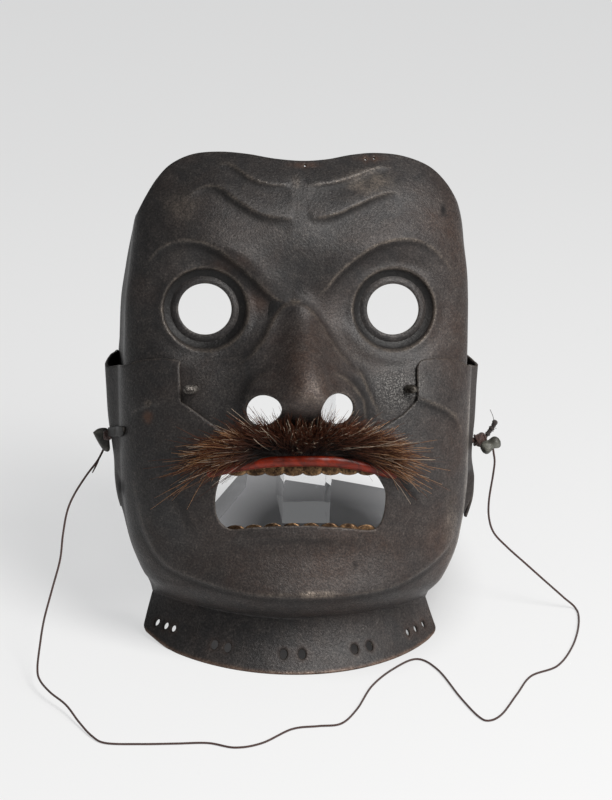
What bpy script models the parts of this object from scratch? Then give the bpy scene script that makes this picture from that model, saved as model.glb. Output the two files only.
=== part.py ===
"""Samurai face guard: an iron mask in two plates, with a bristle moustache, a tie cord and a clear stand.

Shapes are worked out in the mask's own frame, in millimetres: across (to the viewer's right), forward
(out of the face) and up (along the face). place() leans that frame back and turns it into metres with
+Z up, the face looking along -Y and the throat flange standing on z = 0.
"""

import math

import bmesh
import bpy
import numpy as np
from mathutils import Vector

MM = 0.001

# Driving dimensions, millimetres and degrees
LEAN = 20.0  # how far the face leans back from upright
WALL = 1.6  # iron sheet
LAP = 0.8  # gap where the lower plate laps over the upper one
FIT_GAP = 0.4  # gap between pieces that touch
FLANGE_FRONT = 80.0  # forward place of the flange's bottom edge at the middle
FLANGE_RADIUS = 82.4
FLANGE_HALF_ANGLE = 61.0
FLANGE_MIDDLE = 0.6
FLANGE_CORNER_RISE = {-1: 5.0, 1: 2.5}
NECK_FRONT = 73.0  # forward place of the line where the flange meets the chin
NECK_RADIUS = 76.6
NECK_UP_MIDDLE = 27.6
NECK_UP_RISE = 8.9
NECK_UP_TILT = -2.0  # its right end is lower than its left by twice this
CHIN_ROUND = 13.0  # height over which the chin swells out above the neck line
EYE_HOLE_HALF_WIDTH = 12.8
EYE_HOLE_HALF_HEIGHT = 12.3
EYE_RIDGE_RADIUS = 20.3
PEG_DIAMETER = 3.2
LACE_HOLE_DIAMETER = 3.2
CORD_DIAMETER = 1.1
BASE_CORNER = (-9.1, 180.0)  # the stand base's back left corner, back from the flange's front
BASE_TURN = -24.6
BASE_WIDTH = 100.0
BASE_DEPTH = 100.0
BASE_THICK = 28.0
POST_MIDDLE = 13.7
POST_WIDTH = 24.0
POST_DEPTH = 34.0
POST_FRONT = 107.0
ARM_UP = 205.0  # height up the face at which the arm holds the forehead
ARM_THICK = 16.0
ARM_GAP = 1.0
DEPTH_SHIFT = -89.35  # brings the box's middle to y = 0, the cord left out
WIDTH_SHIFT = -0.58

# The face at each height: half width, front at the middle, place where the sides start to run straight
# back, place of the back edge, squareness of the front, and how far the middle stands to one side
SECTION_COLUMNS = ("up", "half_width", "front", "side_start", "back", "squareness", "middle")
SECTIONS = (
    (27.0, 67.0, 94.0, 46.0, 38.0, 2.0, 0.5),
    (40.0, 70.5, 94.5, 48.0, 40.0, 2.0, 1.6),
    (50.0, 74.3, 93.5, 52.0, 42.0, 2.0, 1.7),
    (60.0, 77.7, 92.0, 55.0, 42.0, 2.1, 1.4),
    (69.0, 80.3, 93.0, 57.0, 35.0, 2.1, 0.9),
    (78.0, 82.3, 94.0, 59.0, 18.0, 2.1, 0.6),
    (90.0, 83.6, 95.5, 60.0, 14.0, 2.1, 0.4),
    (105.0, 84.2, 97.0, 60.0, 14.0, 2.1, 0.2),
    (120.0, 84.6, 96.0, 60.0, 14.0, 2.1, 0.2),
    (140.0, 85.2, 94.5, 60.0, 14.0, 2.1, 0.3),
    (152.0, 85.5, 91.5, 60.0, 18.0, 2.1, 0.5),
    (165.0, 85.5, 88.0, 60.0, 24.0, 2.1, 0.8),
    (180.0, 85.0, 86.5, 60.0, 25.0, 2.1, 1.3),
    (192.0, 83.8, 88.0, 59.0, 26.0, 2.1, 2.0),
    (205.0, 82.2, 88.5, 57.0, 28.0, 2.1, 2.5),
    (220.0, 80.0, 85.0, 54.0, 34.0, 2.1, 2.7),
    (235.0, 74.8, 78.0, 50.0, 40.0, 2.1, 3.2),
    (252.0, 65.0, 64.0, 44.0, 42.0, 2.1, 3.2),
)

# The nose over the face: how far it stands out at its middle and how wide its bridge is
NOSE_COLUMNS = ("up", "stand", "bridge")
NOSE = (
    (106.0, 0.0, 13.0),
    (113.0, 0.5, 13.0),
    (118.0, 4.5, 12.5),
    (124.0, 13.0, 12.5),
    (130.0, 20.5, 13.5),
    (137.0, 23.5, 14.0),
    (144.0, 21.5, 13.0),
    (152.0, 18.0, 12.0),
    (160.0, 13.5, 10.5),
    (168.0, 8.5, 8.5),
    (176.0, 3.5, 7.0),
    (184.0, 0.5, 7.0),
    (192.0, 0.0, 7.0),
)

# Raised lines: across, up and height at each point, with the width of the slope on either side of it
LINE_COLUMNS = ("across", "up", "height")
RIDGES = {
    "brow_left": (
        (3.5, 9.0),
        ((-4.5, 175, 1.0), (-11, 178, 2.6), (-20, 186, 3.4), (-30, 195, 3.6), (-40, 202.5, 3.6),
         (-50, 206.0, 3.4), (-60, 205.5, 2.8), (-68, 200.5, 2.0), (-74, 191, 0.8)),
    ),
    "brow_right": (
        (3.5, 9.0),
        ((4.5, 177, 1.0), (11.5, 182, 2.6), (20, 192, 3.4), (30, 200, 3.6), (40, 205.5, 3.6),
         (50, 207.5, 3.4), (60, 205.5, 2.8), (68.5, 199, 2.0), (74, 191, 0.8)),
    ),
    "wrinkle_low_left": (
        (2.6, 4.5),
        ((-54, 228, 0.4), (-46, 232.5, 1.6), (-38, 232.5, 1.8), (-30, 227, 1.8), (-20, 221, 1.7),
         (-11, 218.5, 1.4), (-3, 218, 0.6)),
    ),
    "wrinkle_low_right": (
        (2.6, 4.5),
        ((6, 217.5, 0.6), (18, 220, 1.6), (28, 224.5, 1.8), (38, 229, 1.8), (45.5, 230.5, 1.4),
         (52, 227, 0.4)),
    ),
    "wrinkle_high_left": (
        (2.4, 4.0),
        ((-40, 243.5, 0.5), (-32, 243, 1.2), (-23, 237.5, 1.5), (-15, 234.3, 1.4), (-4, 233.5, 0.5)),
    ),
    "wrinkle_high_right": (
        (2.4, 4.0),
        ((6, 233.7, 0.5), (15, 234.8, 1.4), (25, 237.5, 1.5), (37, 242, 1.2), (43, 242.3, 0.4)),
    ),
    "lid_left": (
        (3.0, 3.0),
        ((-27, 146.5, 0.6), (-34, 146.5, 1.6), (-42, 146.5, 1.8), (-50, 148, 1.8), (-57, 150, 1.0)),
    ),
    "lid_right": (
        (3.0, 3.0),
        ((27, 146.5, 0.6), (34, 146.5, 1.6), (42, 147, 1.8), (50, 148.5, 1.8), (57, 151, 1.0)),
    ),
    "jowl": (
        (5.0, 6.0),
        ((-77, 88, 0.5), (-72.5, 70, 1.6), (-63, 54, 1.8), (-48, 45.5, 1.6), (-24, 40.5, 1.2),
         (0, 39.0, 1.2), (24, 40.5, 1.2), (46, 45, 1.6), (63, 54, 1.8), (73, 70, 1.6), (77, 88, 0.5)),
    ),
}

LIP_HALF = 43.2
LIP_TALL = 6.0
LIP_DROP = {-1: 3.4, 1: 5.2}  # how far its ends hang
LIP_STAND = 3.2
TEETH = 8
TEETH_HALF = 35.5
TOOTH_THICK = 1.2
MOUSTACHE_HALF = 38.0

EYES = {"left": (-45.1, 175.0), "right": (45.1, 175.0)}
NOSTRILS = {"left": -18.3, "right": 15.6}
PEG_HOLES = {"left": -50.8, "right": 51.2}
PEG_REACH = {"left": 7.0, "right": 5.2}
PEG_UP = 137.6
SIDES = {"left": -1, "right": 1}
KNOT_NECK = 2.4  # the cord's knots pass through the wings at this diameter
KNOT_FORWARD = 38.0
KNOT_UP = {"left": 112.5, "right": 109.0}
KNOT_OUT = {"left": 2.6, "right": 7.4}
KNOT_RADIUS = {"left": 2.6, "right": 3.4}
STRAP_UP = 114.0
STRAP_TALL = 4.2
STRAP_THICK = 1.2
NOSTRIL_UP = 128.4
NOSTRIL_HALF_WIDTH = 8.7
NOSTRIL_HALF_HEIGHT = 8.0

# Outlines, across and up: the forehead's top edge and the open step in the lower plate under the nose
TOP_EDGE = (
    (-90, 196), (-83, 205), (-77, 216), (-72, 226), (-66, 235), (-59, 242.5), (-49, 247.8), (-37, 249.6),
    (-24, 248.6), (-11, 246.4), (2, 245.4), (14, 246.2), (26, 248.4), (38, 249.4), (51, 247.6),
    (63.5, 242.8), (72.5, 236), (79, 227), (83.5, 217), (88, 206), (94, 196),
)
NOSE_STEP = (
    (-58, 175), (-58, 148), (-57.6, 131.5), (-54.5, 129.5), (-49, 125.5), (-38.5, 118), (-25, 113),
    (0, 111.5), (25, 113), (38.5, 119), (49, 125.5), (54, 130), (55.8, 132), (56.0, 148), (56.0, 175),
)
MOUTH = (
    (-37, 99.0), (-40.2, 93), (-41.4, 86), (-40.8, 78.5), (-38, 73.5), (-33, 70.3), (-22, 71.3),
    (0, 72.2), (20, 70.5), (33, 69.6), (37.7, 72.6), (40, 79), (40.5, 88), (38.6, 92.8), (34, 97.0),
)
# Outlines seen from the side, forward and up
UPPER_SIDE_EDGE = ((10, 136), (27, 136), (25, 150), (25.5, 172), (28, 190), (31, 204), (37, 218), (43, 232), (10, 250))
LOWER_SIDE_EDGE = (
    (0, 112), (14, 112), (17, 100), (21, 88), (26, 80), (31, 76.5), (35, 81), (38.5, 89), (41, 94),
    (43.5, 89), (44.5, 76), (45, 62), (46, 50), (30, 50), (0, 60),
)
LOWER_TOP_EDGE = ((98, 170), (98, 152), (84, 152), (75, 151.4), (66, 151.6), (58, 151.4))
LOWER_TOP_SLOPE = ((0, 151.8), (14, 151.4), (43, 147), (62, 147), (72, 170), (0, 170))

# How far each turned-back wing of the lower plate swells outwards behind its crease
WING_COLUMNS = ("up", "left", "right")
WING = (
    (60, 0.0, 3.0), (75, 0.2, 5.5), (82, 0.6, 6.6), (91, 1.0, 6.2), (101, 1.2, 4.6), (109, 2.8, 4.9),
    (120, 4.4, 5.6), (137, 5.2, 5.8), (146, 5.6, 6.0), (155, 5.7, 6.0),
)
LACE_HOLES_ACROSS = (-65.6, -62.0, -58.8, -39.8, -33.6, -6.8, 2.3, 28.8, 36.6, 57.6, 62.0, 66.6)
LACE_HOLE_PLACE = 0.33  # part of the flange's height

# The tie cord's way from the left knot to the right one: across, back from the flange's front, up
CORD_ROUTE = (
    (-91.9, 76.0, 81.4), (-94.3, 74.0, 78.4), (-99.5, 71.0, 72.3), (-105.4, 66.0, 64.5), (-108.9, 60.0, 58.3),
    (-111.1, 52.0, 49.8), (-112.7, 43.0, 40.9), (-116.9, 31.0, 30.8), (-121.0, 18.0, 21.5), (-123.2, 7.0, 13.9),
    (-124.7, -5.0, 8.0), (-123.8, -13.0, 5.9), (-119.4, -23.0, 4.9), (-112.3, -34.0, 4.0), (-106.8, -46.5, 1.9),
    (-101.3, -58.0, 0.9), (-95.2, -64.1, 0.6), (-79.7, -65.4, 0.6), (-63.6, -65.4, 0.6), (-48.4, -65.3, 0.6),
    (-36.3, -69.8, 0.6), (-23.5, -66.0, 0.6), (-8.4, -53.4, 0.6), (4.0, -50.9, 0.6), (15.1, -48.8, 0.6),
    (24.2, -35.2, 0.6), (34.0, -13.0, 0.6), (46.3, 3.7, 0.6), (59.3, 13.6, 0.6), (68.0, 2.2, 0.6),
    (74.7, -24.8, 0.6), (80.5, -43.3, 0.6), (85.0, -47.8, 0.6), (92.2, -41.7, 0.6), (102.5, -22.5, 0.6),
    (112.2, -4.9, 0.6), (126.6, 4.9, 0.6), (137.4, 24.2, 0.6), (144.8, 47.2, 0.6), (146.6, 64.4, 0.6),
    (139.9, 66.0, 6.6), (130.3, 67.0, 15.1), (119.8, 69.0, 24.2), (110.5, 71.0, 32.2), (103.8, 73.0, 39.0),
    (101.0, 74.5, 46.6), (100.6, 76.0, 55.8), (101.9, 77.0, 69.0), (102.3, 77.5, 75.9), (101.5, 78.0, 80.5),
)
CORD_POINTS = 60
CORD_ENDS = {
    "left": ((-92.6, 72.5, 81.5), (-94.3, 71.0, 77.4), (-96.0, 70.0, 73.6)),
    "right": ((98.2, 80.5, 91.6), (100.9, 80.5, 94.4), (102.3, 80.5, 97.4)),
}

# Cross positions of the sheet's columns: parts of the half width, then parts of the side
FRONT_COLUMNS = (0.0, 0.06, 0.12, 0.18, 0.24, 0.31, 0.38, 0.46, 0.54, 0.62, 0.7, 0.78, 0.86, 0.93, 0.975, 1.0)
SIDE_COLUMNS = (0.3, 0.62, 1.0)
UPPER_ROWS = (105, 111, 117, 122, 127, 132, 137, 142, 147, 153, 160, 167, 174, 181, 187, 193, 199, 205, 212, 219,
              227, 235, 243, 252)
LOWER_ROWS = (30.5, 34, 38, 43, 49, 56, 63, 70, 77, 87, 97, 104, 111, 117, 122, 127, 132, 137, 142, 147, 152, 158)
FLANGE_ROWS = (0.0, 0.33, 0.66, 1.0)


def column(table, columns, name):
    return np.array([row[columns.index(name)] for row in table], dtype=float)


def smooth(at, knots, values):
    """A curve through the knots with no corners."""
    knots = np.asarray(knots, dtype=float)
    values = np.asarray(values, dtype=float)
    slopes = np.gradient(values, knots)
    at = np.clip(at, knots[0], knots[-1])
    i = np.clip(np.searchsorted(knots, at) - 1, 0, len(knots) - 2)
    step = knots[i + 1] - knots[i]
    t = (at - knots[i]) / step
    return (
        values[i] * (2 * t**3 - 3 * t**2 + 1)
        + slopes[i] * step * (t**3 - 2 * t**2 + t)
        + values[i + 1] * (3 * t**2 - 2 * t**3)
        + slopes[i + 1] * step * (t**3 - t**2)
    )


def ease(t):
    t = np.clip(t, 0.0, 1.0)
    return t * t * (3 - 2 * t)


def section(up, name):
    return smooth(up, column(SECTIONS, SECTION_COLUMNS, "up"), column(SECTIONS, SECTION_COLUMNS, name))


def ridge(across, up, widths, line):
    """A soft ridge along a line: widths are its slopes below and above the line."""
    knots = np.arange(len(line), dtype=float)
    fine = np.linspace(0, knots[-1], 8 * len(line))
    path = np.stack([smooth(fine, knots, column(line, LINE_COLUMNS, name)) for name in LINE_COLUMNS], axis=1)
    start, end = path[:-1], path[1:]
    run = end[:, :2] - start[:, :2]
    offset = np.stack([across, up], axis=-1)[..., None, :] - start[:, :2]
    t = np.clip((offset * run).sum(-1) / (run**2).sum(-1), 0, 1)
    gap = offset - t[..., None] * run
    distance = np.hypot(gap[..., 0], gap[..., 1])
    near = distance.argmin(-1)[..., None]
    pick = lambda values: np.take_along_axis(values, near, -1)[..., 0]
    direction = np.sign(run[:, 0]) * (run[:, 0] * gap[..., 1] - run[:, 1] * gap[..., 0])
    width = np.where(pick(direction) < 0, widths[0], widths[1])
    height = pick(start[:, 2] + t * (end[:, 2] - start[:, 2]))
    return height * np.exp(-((pick(distance) / width) ** 2))


def eye(across, up, middle):
    """The hollow round one eye, with a raised ring in it."""
    over = across - middle[0]
    rise = up - middle[1]
    hollow = -5.0 * (1 - ease((np.hypot(over / 33.0, (rise - 1.0) / 30.0) - 0.62) / 0.38))
    r = np.hypot(over, rise)
    ring = 1.8 * np.exp(-(((r - EYE_RIDGE_RADIUS) / 2.4) ** 2))
    return hollow + ring


def nose(across, up):
    ups = column(NOSE, NOSE_COLUMNS, "up")
    stand = smooth(up, ups, column(NOSE, NOSE_COLUMNS, "stand"))
    bridge = smooth(up, ups, column(NOSE, NOSE_COLUMNS, "bridge"))
    ball = stand * np.exp(-((np.abs(across) / bridge) ** 2.2))
    wing = 10.5 * np.exp(-((np.hypot((np.abs(across) - 18.5) / 9.5, (up - 130.0) / 12.5)) ** 2.4))
    root = 7.0 * np.exp(-((across / 27.0) ** 4)) * ease((up - 118) / 16) * ease((172 - up) / 26)
    return ball + wing * (1 - 0.45 * np.exp(-((across / 11.0) ** 2))) + root


def relief(across, up):
    total = nose(across, up)
    for middle in EYES.values():
        total = total + eye(across, up, middle)
    for widths, line in RIDGES.values():
        total = total + ridge(across, up, widths, line)
    return total


def face(part, side, up, inward=0.0, winged=False):
    """Points of the sheet: part is -1..1 across the front, side 0..1 back along the side."""
    part, side, up = np.broadcast_arrays(*(np.asarray(v, dtype=float) for v in (part, side, up)))
    half = section(up, "half_width") - inward
    start = section(up, "side_start")
    front = section(up, "front") - inward
    power = section(up, "squareness")
    across = half * part + section(up, "middle")
    round_front = (1 - np.abs(part) ** power) ** (1 / power)
    fade = ease((1.0 - np.abs(part)) / 0.12)
    forward = start + (front - start) * round_front + relief(across, up) * fade
    back = start - side * (start - section(up, "back"))
    run = start - back
    if winged:
        left, right = (smooth(up, column(WING, WING_COLUMNS, "up"), column(WING, WING_COLUMNS, name))
                       for name in ("left", "right"))
        swell = np.where(part < 0, left, right) * (ease(run / 17.0) - 0.6 * ease((run - 17.0) / 32.0))
        across = across + np.sign(part) * swell
    return across, np.where(side > 0, back, forward), up


def front_at(across, up):
    """Forward place of the outer surface straight ahead of a point."""
    part = (across - section(up, "middle")) / section(up, "half_width")
    return face(part, 0.0, up)[1]


def place(across, forward, up):
    lean = math.radians(LEAN)
    behind = FLANGE_FRONT - forward
    return (
        (across + WIDTH_SHIFT) * MM,
        (behind * math.cos(lean) + up * math.sin(lean) + DEPTH_SHIFT) * MM,
        (up * math.cos(lean) - behind * math.sin(lean)) * MM,
    )


def sheet_columns():
    """part, side and running place, -1 at one back edge and 1 at the other."""
    half = [(part, 0.0, 0.8 * math.asin(part) / (math.pi / 2)) for part in FRONT_COLUMNS]
    half += [(1.0, side, 0.8 + 0.2 * side) for side in SIDE_COLUMNS]
    left = [(-part, side, -run) for part, side, run in reversed(half[1:])]
    return np.array(left + half)


def make_object(name, verts, faces, material, smooth_angle=None):
    mesh = bpy.data.meshes.new(name)
    mesh.from_pydata([tuple(v) for v in verts], [], faces)
    mesh.update()
    obj = bpy.data.objects.new(name, mesh)
    bpy.context.scene.collection.objects.link(obj)
    if material:
        mesh.materials.append(material)
    if smooth_angle:
        mesh.shade_smooth()
        mesh.set_sharp_from_angle(angle=math.radians(smooth_angle))
    return obj


def grid_faces(rows, columns):
    return [
        (r * columns + c, r * columns + c + 1, (r + 1) * columns + c + 1, (r + 1) * columns + c)
        for r in range(rows - 1)
        for c in range(columns - 1)
    ]


def material(name, colour, roughness, metallic=0.0, see_through=0.0):
    made = bpy.data.materials.new(name)
    made.use_nodes = True
    shader = made.node_tree.nodes["Principled BSDF"]
    shader.inputs["Base Color"].default_value = (*colour, 1.0)
    shader.inputs["Roughness"].default_value = roughness
    shader.inputs["Metallic"].default_value = metallic
    shader.inputs["Transmission Weight"].default_value = see_through
    return made


def as_cutter(obj):
    obj.hide_render = True
    obj.display_type = "WIRE"
    return obj


def cut(obj, cutter, operation="DIFFERENCE"):
    boolean = obj.modifiers.new(cutter.name, "BOOLEAN")
    boolean.operation = operation
    boolean.solver = "EXACT"
    boolean.object = cutter


def prism_mesh(corners_a, corners_b):
    """A closed prism between two outlines of equal length."""
    count = len(corners_a)
    faces = [tuple(range(count)), tuple(range(2 * count - 1, count - 1, -1))]
    faces += [(i, i + count, (i + 1) % count + count, (i + 1) % count) for i in range(count)]
    return list(corners_a) + list(corners_b), faces


def mend(obj):
    """Turns every face outwards."""
    mesh = bmesh.new()
    mesh.from_mesh(obj.data)
    bmesh.ops.recalc_face_normals(mesh, faces=mesh.faces)
    mesh.to_mesh(obj.data)
    mesh.free()
    return obj


def front_prism(name, outline, near=150.0, far=-20.0):
    """A cutter whose outline, across and up, is seen from the front."""
    verts, faces = prism_mesh([place(x, near, up) for x, up in outline], [place(x, far, up) for x, up in outline])
    return as_cutter(mend(make_object(name, verts, faces, None)))


def side_prism(name, outline, reach=120.0):
    """A cutter whose outline, forward and up, is seen from the side."""
    verts, faces = prism_mesh([place(-reach, f, up) for f, up in outline], [place(reach, f, up) for f, up in outline])
    return as_cutter(mend(make_object(name, verts, faces, None)))


def oval(middle, half_width, half_height, sides=20):
    turns = [2 * math.pi * i / sides for i in range(sides)]
    return [(middle[0] + half_width * math.cos(t), middle[1] + half_height * math.sin(t)) for t in turns]


def solidify(obj, thickness):
    wall = obj.modifiers.new("wall", "SOLIDIFY")
    wall.thickness = thickness * MM
    wall.offset = -1.0
    wall.use_even_offset = True


def upper_face(iron):
    columns = sheet_columns()
    verts = []
    for up in UPPER_ROWS:
        across, forward, height = face(columns[:, 0], columns[:, 1], float(up), inward=WALL + LAP)
        verts += [place(*point) for point in zip(across, forward, height)]
    obj = make_object("upper_face", verts, grid_faces(len(UPPER_ROWS), len(columns)), iron, 50)
    solidify(obj, WALL)
    cut(obj, front_prism("cut_top_edge", TOP_EDGE + ((96, 270), (-96, 270))))
    cut(obj, side_prism("cut_upper_side", UPPER_SIDE_EDGE))
    hem = ((-120, 139), (-66, 139), (-61, 124), (-47, 114), (-20, 107), (20, 107), (47, 114), (61, 124), (66, 139),
           (120, 139), (120, 80), (-120, 80))
    cut(obj, front_prism("cut_upper_hem", hem))
    for side, middle in EYES.items():
        cut(obj, front_prism("cut_eye_" + side, oval(middle, EYE_HOLE_HALF_WIDTH, EYE_HOLE_HALF_HEIGHT, 24)))
        nostril = oval((NOSTRILS[side], NOSTRIL_UP), NOSTRIL_HALF_WIDTH, NOSTRIL_HALF_HEIGHT, 16)
        cut(obj, front_prism("cut_nostril_" + side, nostril))
        hole = oval((PEG_HOLES[side], PEG_UP), PEG_DIAMETER / 2 + 0.6, PEG_DIAMETER / 2 + 0.6, 8)
        cut(obj, front_prism("cut_peg_" + side, hole, 100.0, 60.0))
    return obj


def neck_point(run):
    angle = math.radians(FLANGE_HALF_ANGLE) * run
    across = NECK_RADIUS * math.sin(angle)
    forward = NECK_FRONT - NECK_RADIUS * (1 - math.cos(angle)) * math.cos(math.radians(LEAN))
    part = across / (NECK_RADIUS * math.sin(math.radians(FLANGE_HALF_ANGLE)))
    up = NECK_UP_MIDDLE + NECK_UP_RISE * abs(part) ** 1.6 + NECK_UP_TILT * part * abs(part)
    return np.array([across + FLANGE_MIDDLE, forward, up])


def flange_point(run, corners=True):
    """The flange's bottom edge, flat on the ground but for its two turned-up corners."""
    angle = math.radians(FLANGE_HALF_ANGLE) * run
    lean = math.radians(LEAN)
    behind = FLANGE_RADIUS * (1 - math.cos(angle))
    start = 0.6 if run < 0 else 0.82
    rise = FLANGE_CORNER_RISE[-1 if run < 0 else 1] * float(ease((abs(run) - start) / (1 - start))) * corners
    across = FLANGE_RADIUS * math.sin(angle) + FLANGE_MIDDLE
    return np.array([
        across,
        FLANGE_FRONT - behind * math.cos(lean) + rise * math.sin(lean),
        behind * math.sin(lean) + rise * math.cos(lean),
    ])


def lower_face(iron):
    columns = sheet_columns()
    verts = []
    necks = np.array([neck_point(run) for run in columns[:, 2]])
    bottoms = np.array([flange_point(run) for run in columns[:, 2]])
    for part in FLANGE_ROWS:
        curve_in = -1.2 * math.sin(math.pi * part)
        for bottom, neck in zip(bottoms, necks):
            across, forward, up = bottom + (neck - bottom) * part
            verts.append(place(across, forward + curve_in, up))
    for row in LOWER_ROWS:
        lift = (necks[:, 2] - NECK_UP_MIDDLE) * (1 - ease((row - NECK_UP_MIDDLE) / 34.0))
        up = row + lift
        across, forward, height = face(columns[:, 0], columns[:, 1], up, winged=True)
        t = np.clip((up - necks[:, 2]) / CHIN_ROUND, 0, 1)
        swell = np.sqrt(1 - (1 - t) ** 2)
        across = necks[:, 0] + (across - necks[:, 0]) * swell
        forward = necks[:, 1] + (forward - necks[:, 1]) * swell
        verts += [place(*point) for point in zip(across, forward, height)]
    rows = len(FLANGE_ROWS) + len(LOWER_ROWS)
    obj = make_object("lower_face", verts, grid_faces(rows, len(columns)), iron, 50)
    solidify(obj, WALL)
    left_top = [(-x, up) for x, up in LOWER_TOP_EDGE]
    right_top = list(reversed(LOWER_TOP_EDGE))
    cut(obj, front_prism("cut_cheek_top", left_top + list(NOSE_STEP[1:-1]) + right_top))
    cut(obj, side_prism("cut_lower_side", LOWER_SIDE_EDGE))
    cut(obj, side_prism("cut_wing_top", LOWER_TOP_SLOPE))
    floor = [[(x * MM, y * MM, z * MM) for x, y in ((-150, -150), (150, -150), (150, 150), (-150, 150))] for z in (-9, 0)]
    cut(obj, as_cutter(mend(make_object("cut_floor", *prism_mesh(*floor), None))))
    cut(obj, front_prism("cut_mouth", MOUTH))
    holes = []
    for across in LACE_HOLES_ACROSS:
        run = math.degrees(math.asin((across - FLANGE_MIDDLE) / (FLANGE_RADIUS - 2.0))) / FLANGE_HALF_ANGLE
        bottom, neck = flange_point(run, corners=False), neck_point(run)
        holes.append((bottom + (neck - bottom) * LACE_HOLE_PLACE, math.radians(FLANGE_HALF_ANGLE) * run))
    for index, (middle, angle) in enumerate(holes):
        cut(obj, hole_cutter(f"cut_lace_{index:02d}", place(*middle), (math.sin(angle), -math.cos(angle), 0.0),
                             LACE_HOLE_DIAMETER / 2, 9.0))
    for side, sign in SIDES.items():
        spot = wing_point(side)
        cut(obj, hole_cutter("cut_wing_" + side, place(*spot), (sign, 0, 0), KNOT_NECK / 2 + 0.5, 14.0))
    return obj


def hole_cutter(name, middle, axis, radius, length, sides=10):
    middle, axis = Vector(middle), Vector(axis).normalized()
    across = axis.cross(Vector((0, 0, 1))).normalized()
    along = axis.cross(across)
    ring = [across * math.cos(2 * math.pi * i / sides) + along * math.sin(2 * math.pi * i / sides)
            for i in range(sides)]
    ends = [[middle + axis * (length / 2 * MM * end) + r * radius * MM for r in ring] for end in (-1, 1)]
    verts, faces = prism_mesh(*ends)
    return as_cutter(mend(make_object(name, verts, faces, None)))


def wing_point(side, forward=KNOT_FORWARD, up=None):
    """A point of the wing's outer surface, at the height of its knot unless told otherwise."""
    up = KNOT_UP[side] if up is None else up
    start, back = float(section(up, "side_start")), float(section(up, "back"))
    across, forward, up = face(float(SIDES[side]), (start - forward) / (start - back), up, winged=True)
    return float(across), float(forward), float(up)


def loft(name, rings, skin, smooth_angle=None, closed_ends=True):
    """A closed body through rings of equal length."""
    count = len(rings[0])
    verts = [point for ring in rings for point in ring]
    faces = [
        (r * count + i, r * count + (i + 1) % count, (r + 1) * count + (i + 1) % count, (r + 1) * count + i)
        for r in range(len(rings) - 1)
        for i in range(count)
    ]
    if closed_ends:
        faces += [tuple(range(count)), tuple(range((len(rings) - 1) * count, len(rings) * count))]
    return mend(make_object(name, verts, faces, skin, smooth_angle))


def lip_middle(across):
    return 102.4 - LIP_DROP[-1 if across < 0 else 1] * abs(across / LIP_HALF) ** 2.4


def upper_lip(lacquer):
    rings = []
    for across in np.linspace(-LIP_HALF, LIP_HALF, 17):
        middle = lip_middle(across)
        ring = []
        for step in range(8):
            turn = math.pi * (step / 7)
            up = middle + LIP_TALL / 2 * math.cos(turn)
            ring.append((across, up, LIP_STAND * math.sin(turn)))
        base = [float(front_at(x, up)) + 0.5 for x, up, _ in ring]
        rings.append([place(x, b + stand, up) for (x, up, stand), b in zip(ring, base)])
    return loft("upper_lip", rings, lacquer, 60)


def teeth(name, root, tip, gilt):
    """A strip of teeth behind the lip, its free edge in scallops."""
    rings = []
    steps = TEETH * 4
    for i in range(steps + 1):
        across = -TEETH_HALF + 2 * TEETH_HALF * i / steps
        arch = abs(math.sin(math.pi * TEETH * i / steps)) ** 0.6
        edge = tip[0] + (tip[1] - tip[0]) * arch
        behind = WALL * 1.12 + FIT_GAP + 0.3
        ring = []
        for up, depth in ((root, 0.0), (edge, 0.0), (edge, TOOTH_THICK), (root, TOOTH_THICK)):
            ring.append(place(across, float(front_at(across, root)) - behind - depth, up))
        rings.append(ring)
    return loft(name, rings, gilt)


def tube(name, points, diameter, skin, resolution=2):
    """A round bar or cord along points given in metres."""
    curve = bpy.data.curves.new(name, "CURVE")
    curve.dimensions = "3D"
    curve.bevel_depth = diameter / 2 * MM
    curve.bevel_resolution = resolution
    curve.resolution_u = 1
    curve.render_resolution_u = 0
    curve.use_fill_caps = True
    spline = curve.splines.new("POLY")
    spline.points.add(len(points) - 1)
    for spot, point in zip(spline.points, points):
        spot.co = (*point, 1.0)
    obj = bpy.data.objects.new(name, curve)
    bpy.context.scene.collection.objects.link(obj)
    curve.materials.append(skin)
    return obj


def peg(side, iron):
    """A bent pin: out through the upper plate's hole, then out over the edge of the lower plate."""
    sign = SIDES[side]
    hole = PEG_HOLES[side]
    lift = PEG_DIAMETER / 2 + FIT_GAP
    inside = float(front_at(hole, PEG_UP)) - WALL - LAP
    over = float(front_at(hole + sign * 5.0, PEG_UP)) + lift + 0.6
    path = [(hole, inside - 4.5), (hole, inside + 0.8), (hole + sign * 1.3, inside + 3.4),
            (hole + sign * 3.6, over), (hole + sign * PEG_REACH[side], over - 0.5)]
    return tube("peg_" + side, [place(x, f, PEG_UP) for x, f in path], PEG_DIAMETER, iron)


def cone(root, tip, radius, sides=5):
    root, tip = Vector(root), Vector(tip)
    axis = (tip - root).normalized()
    across = axis.cross(Vector((0.3, 0.2, 1))).normalized()
    along = axis.cross(across)
    rings = []
    for part, scale in ((0.0, 1.0), (0.55, 0.75), (1.0, 0.18)):
        middle = root.lerp(tip, part)
        rings.append([
            middle + (across * math.cos(2 * math.pi * i / sides) + along * math.sin(2 * math.pi * i / sides))
            * radius * scale
            for i in range(sides)
        ])
    return rings


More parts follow.
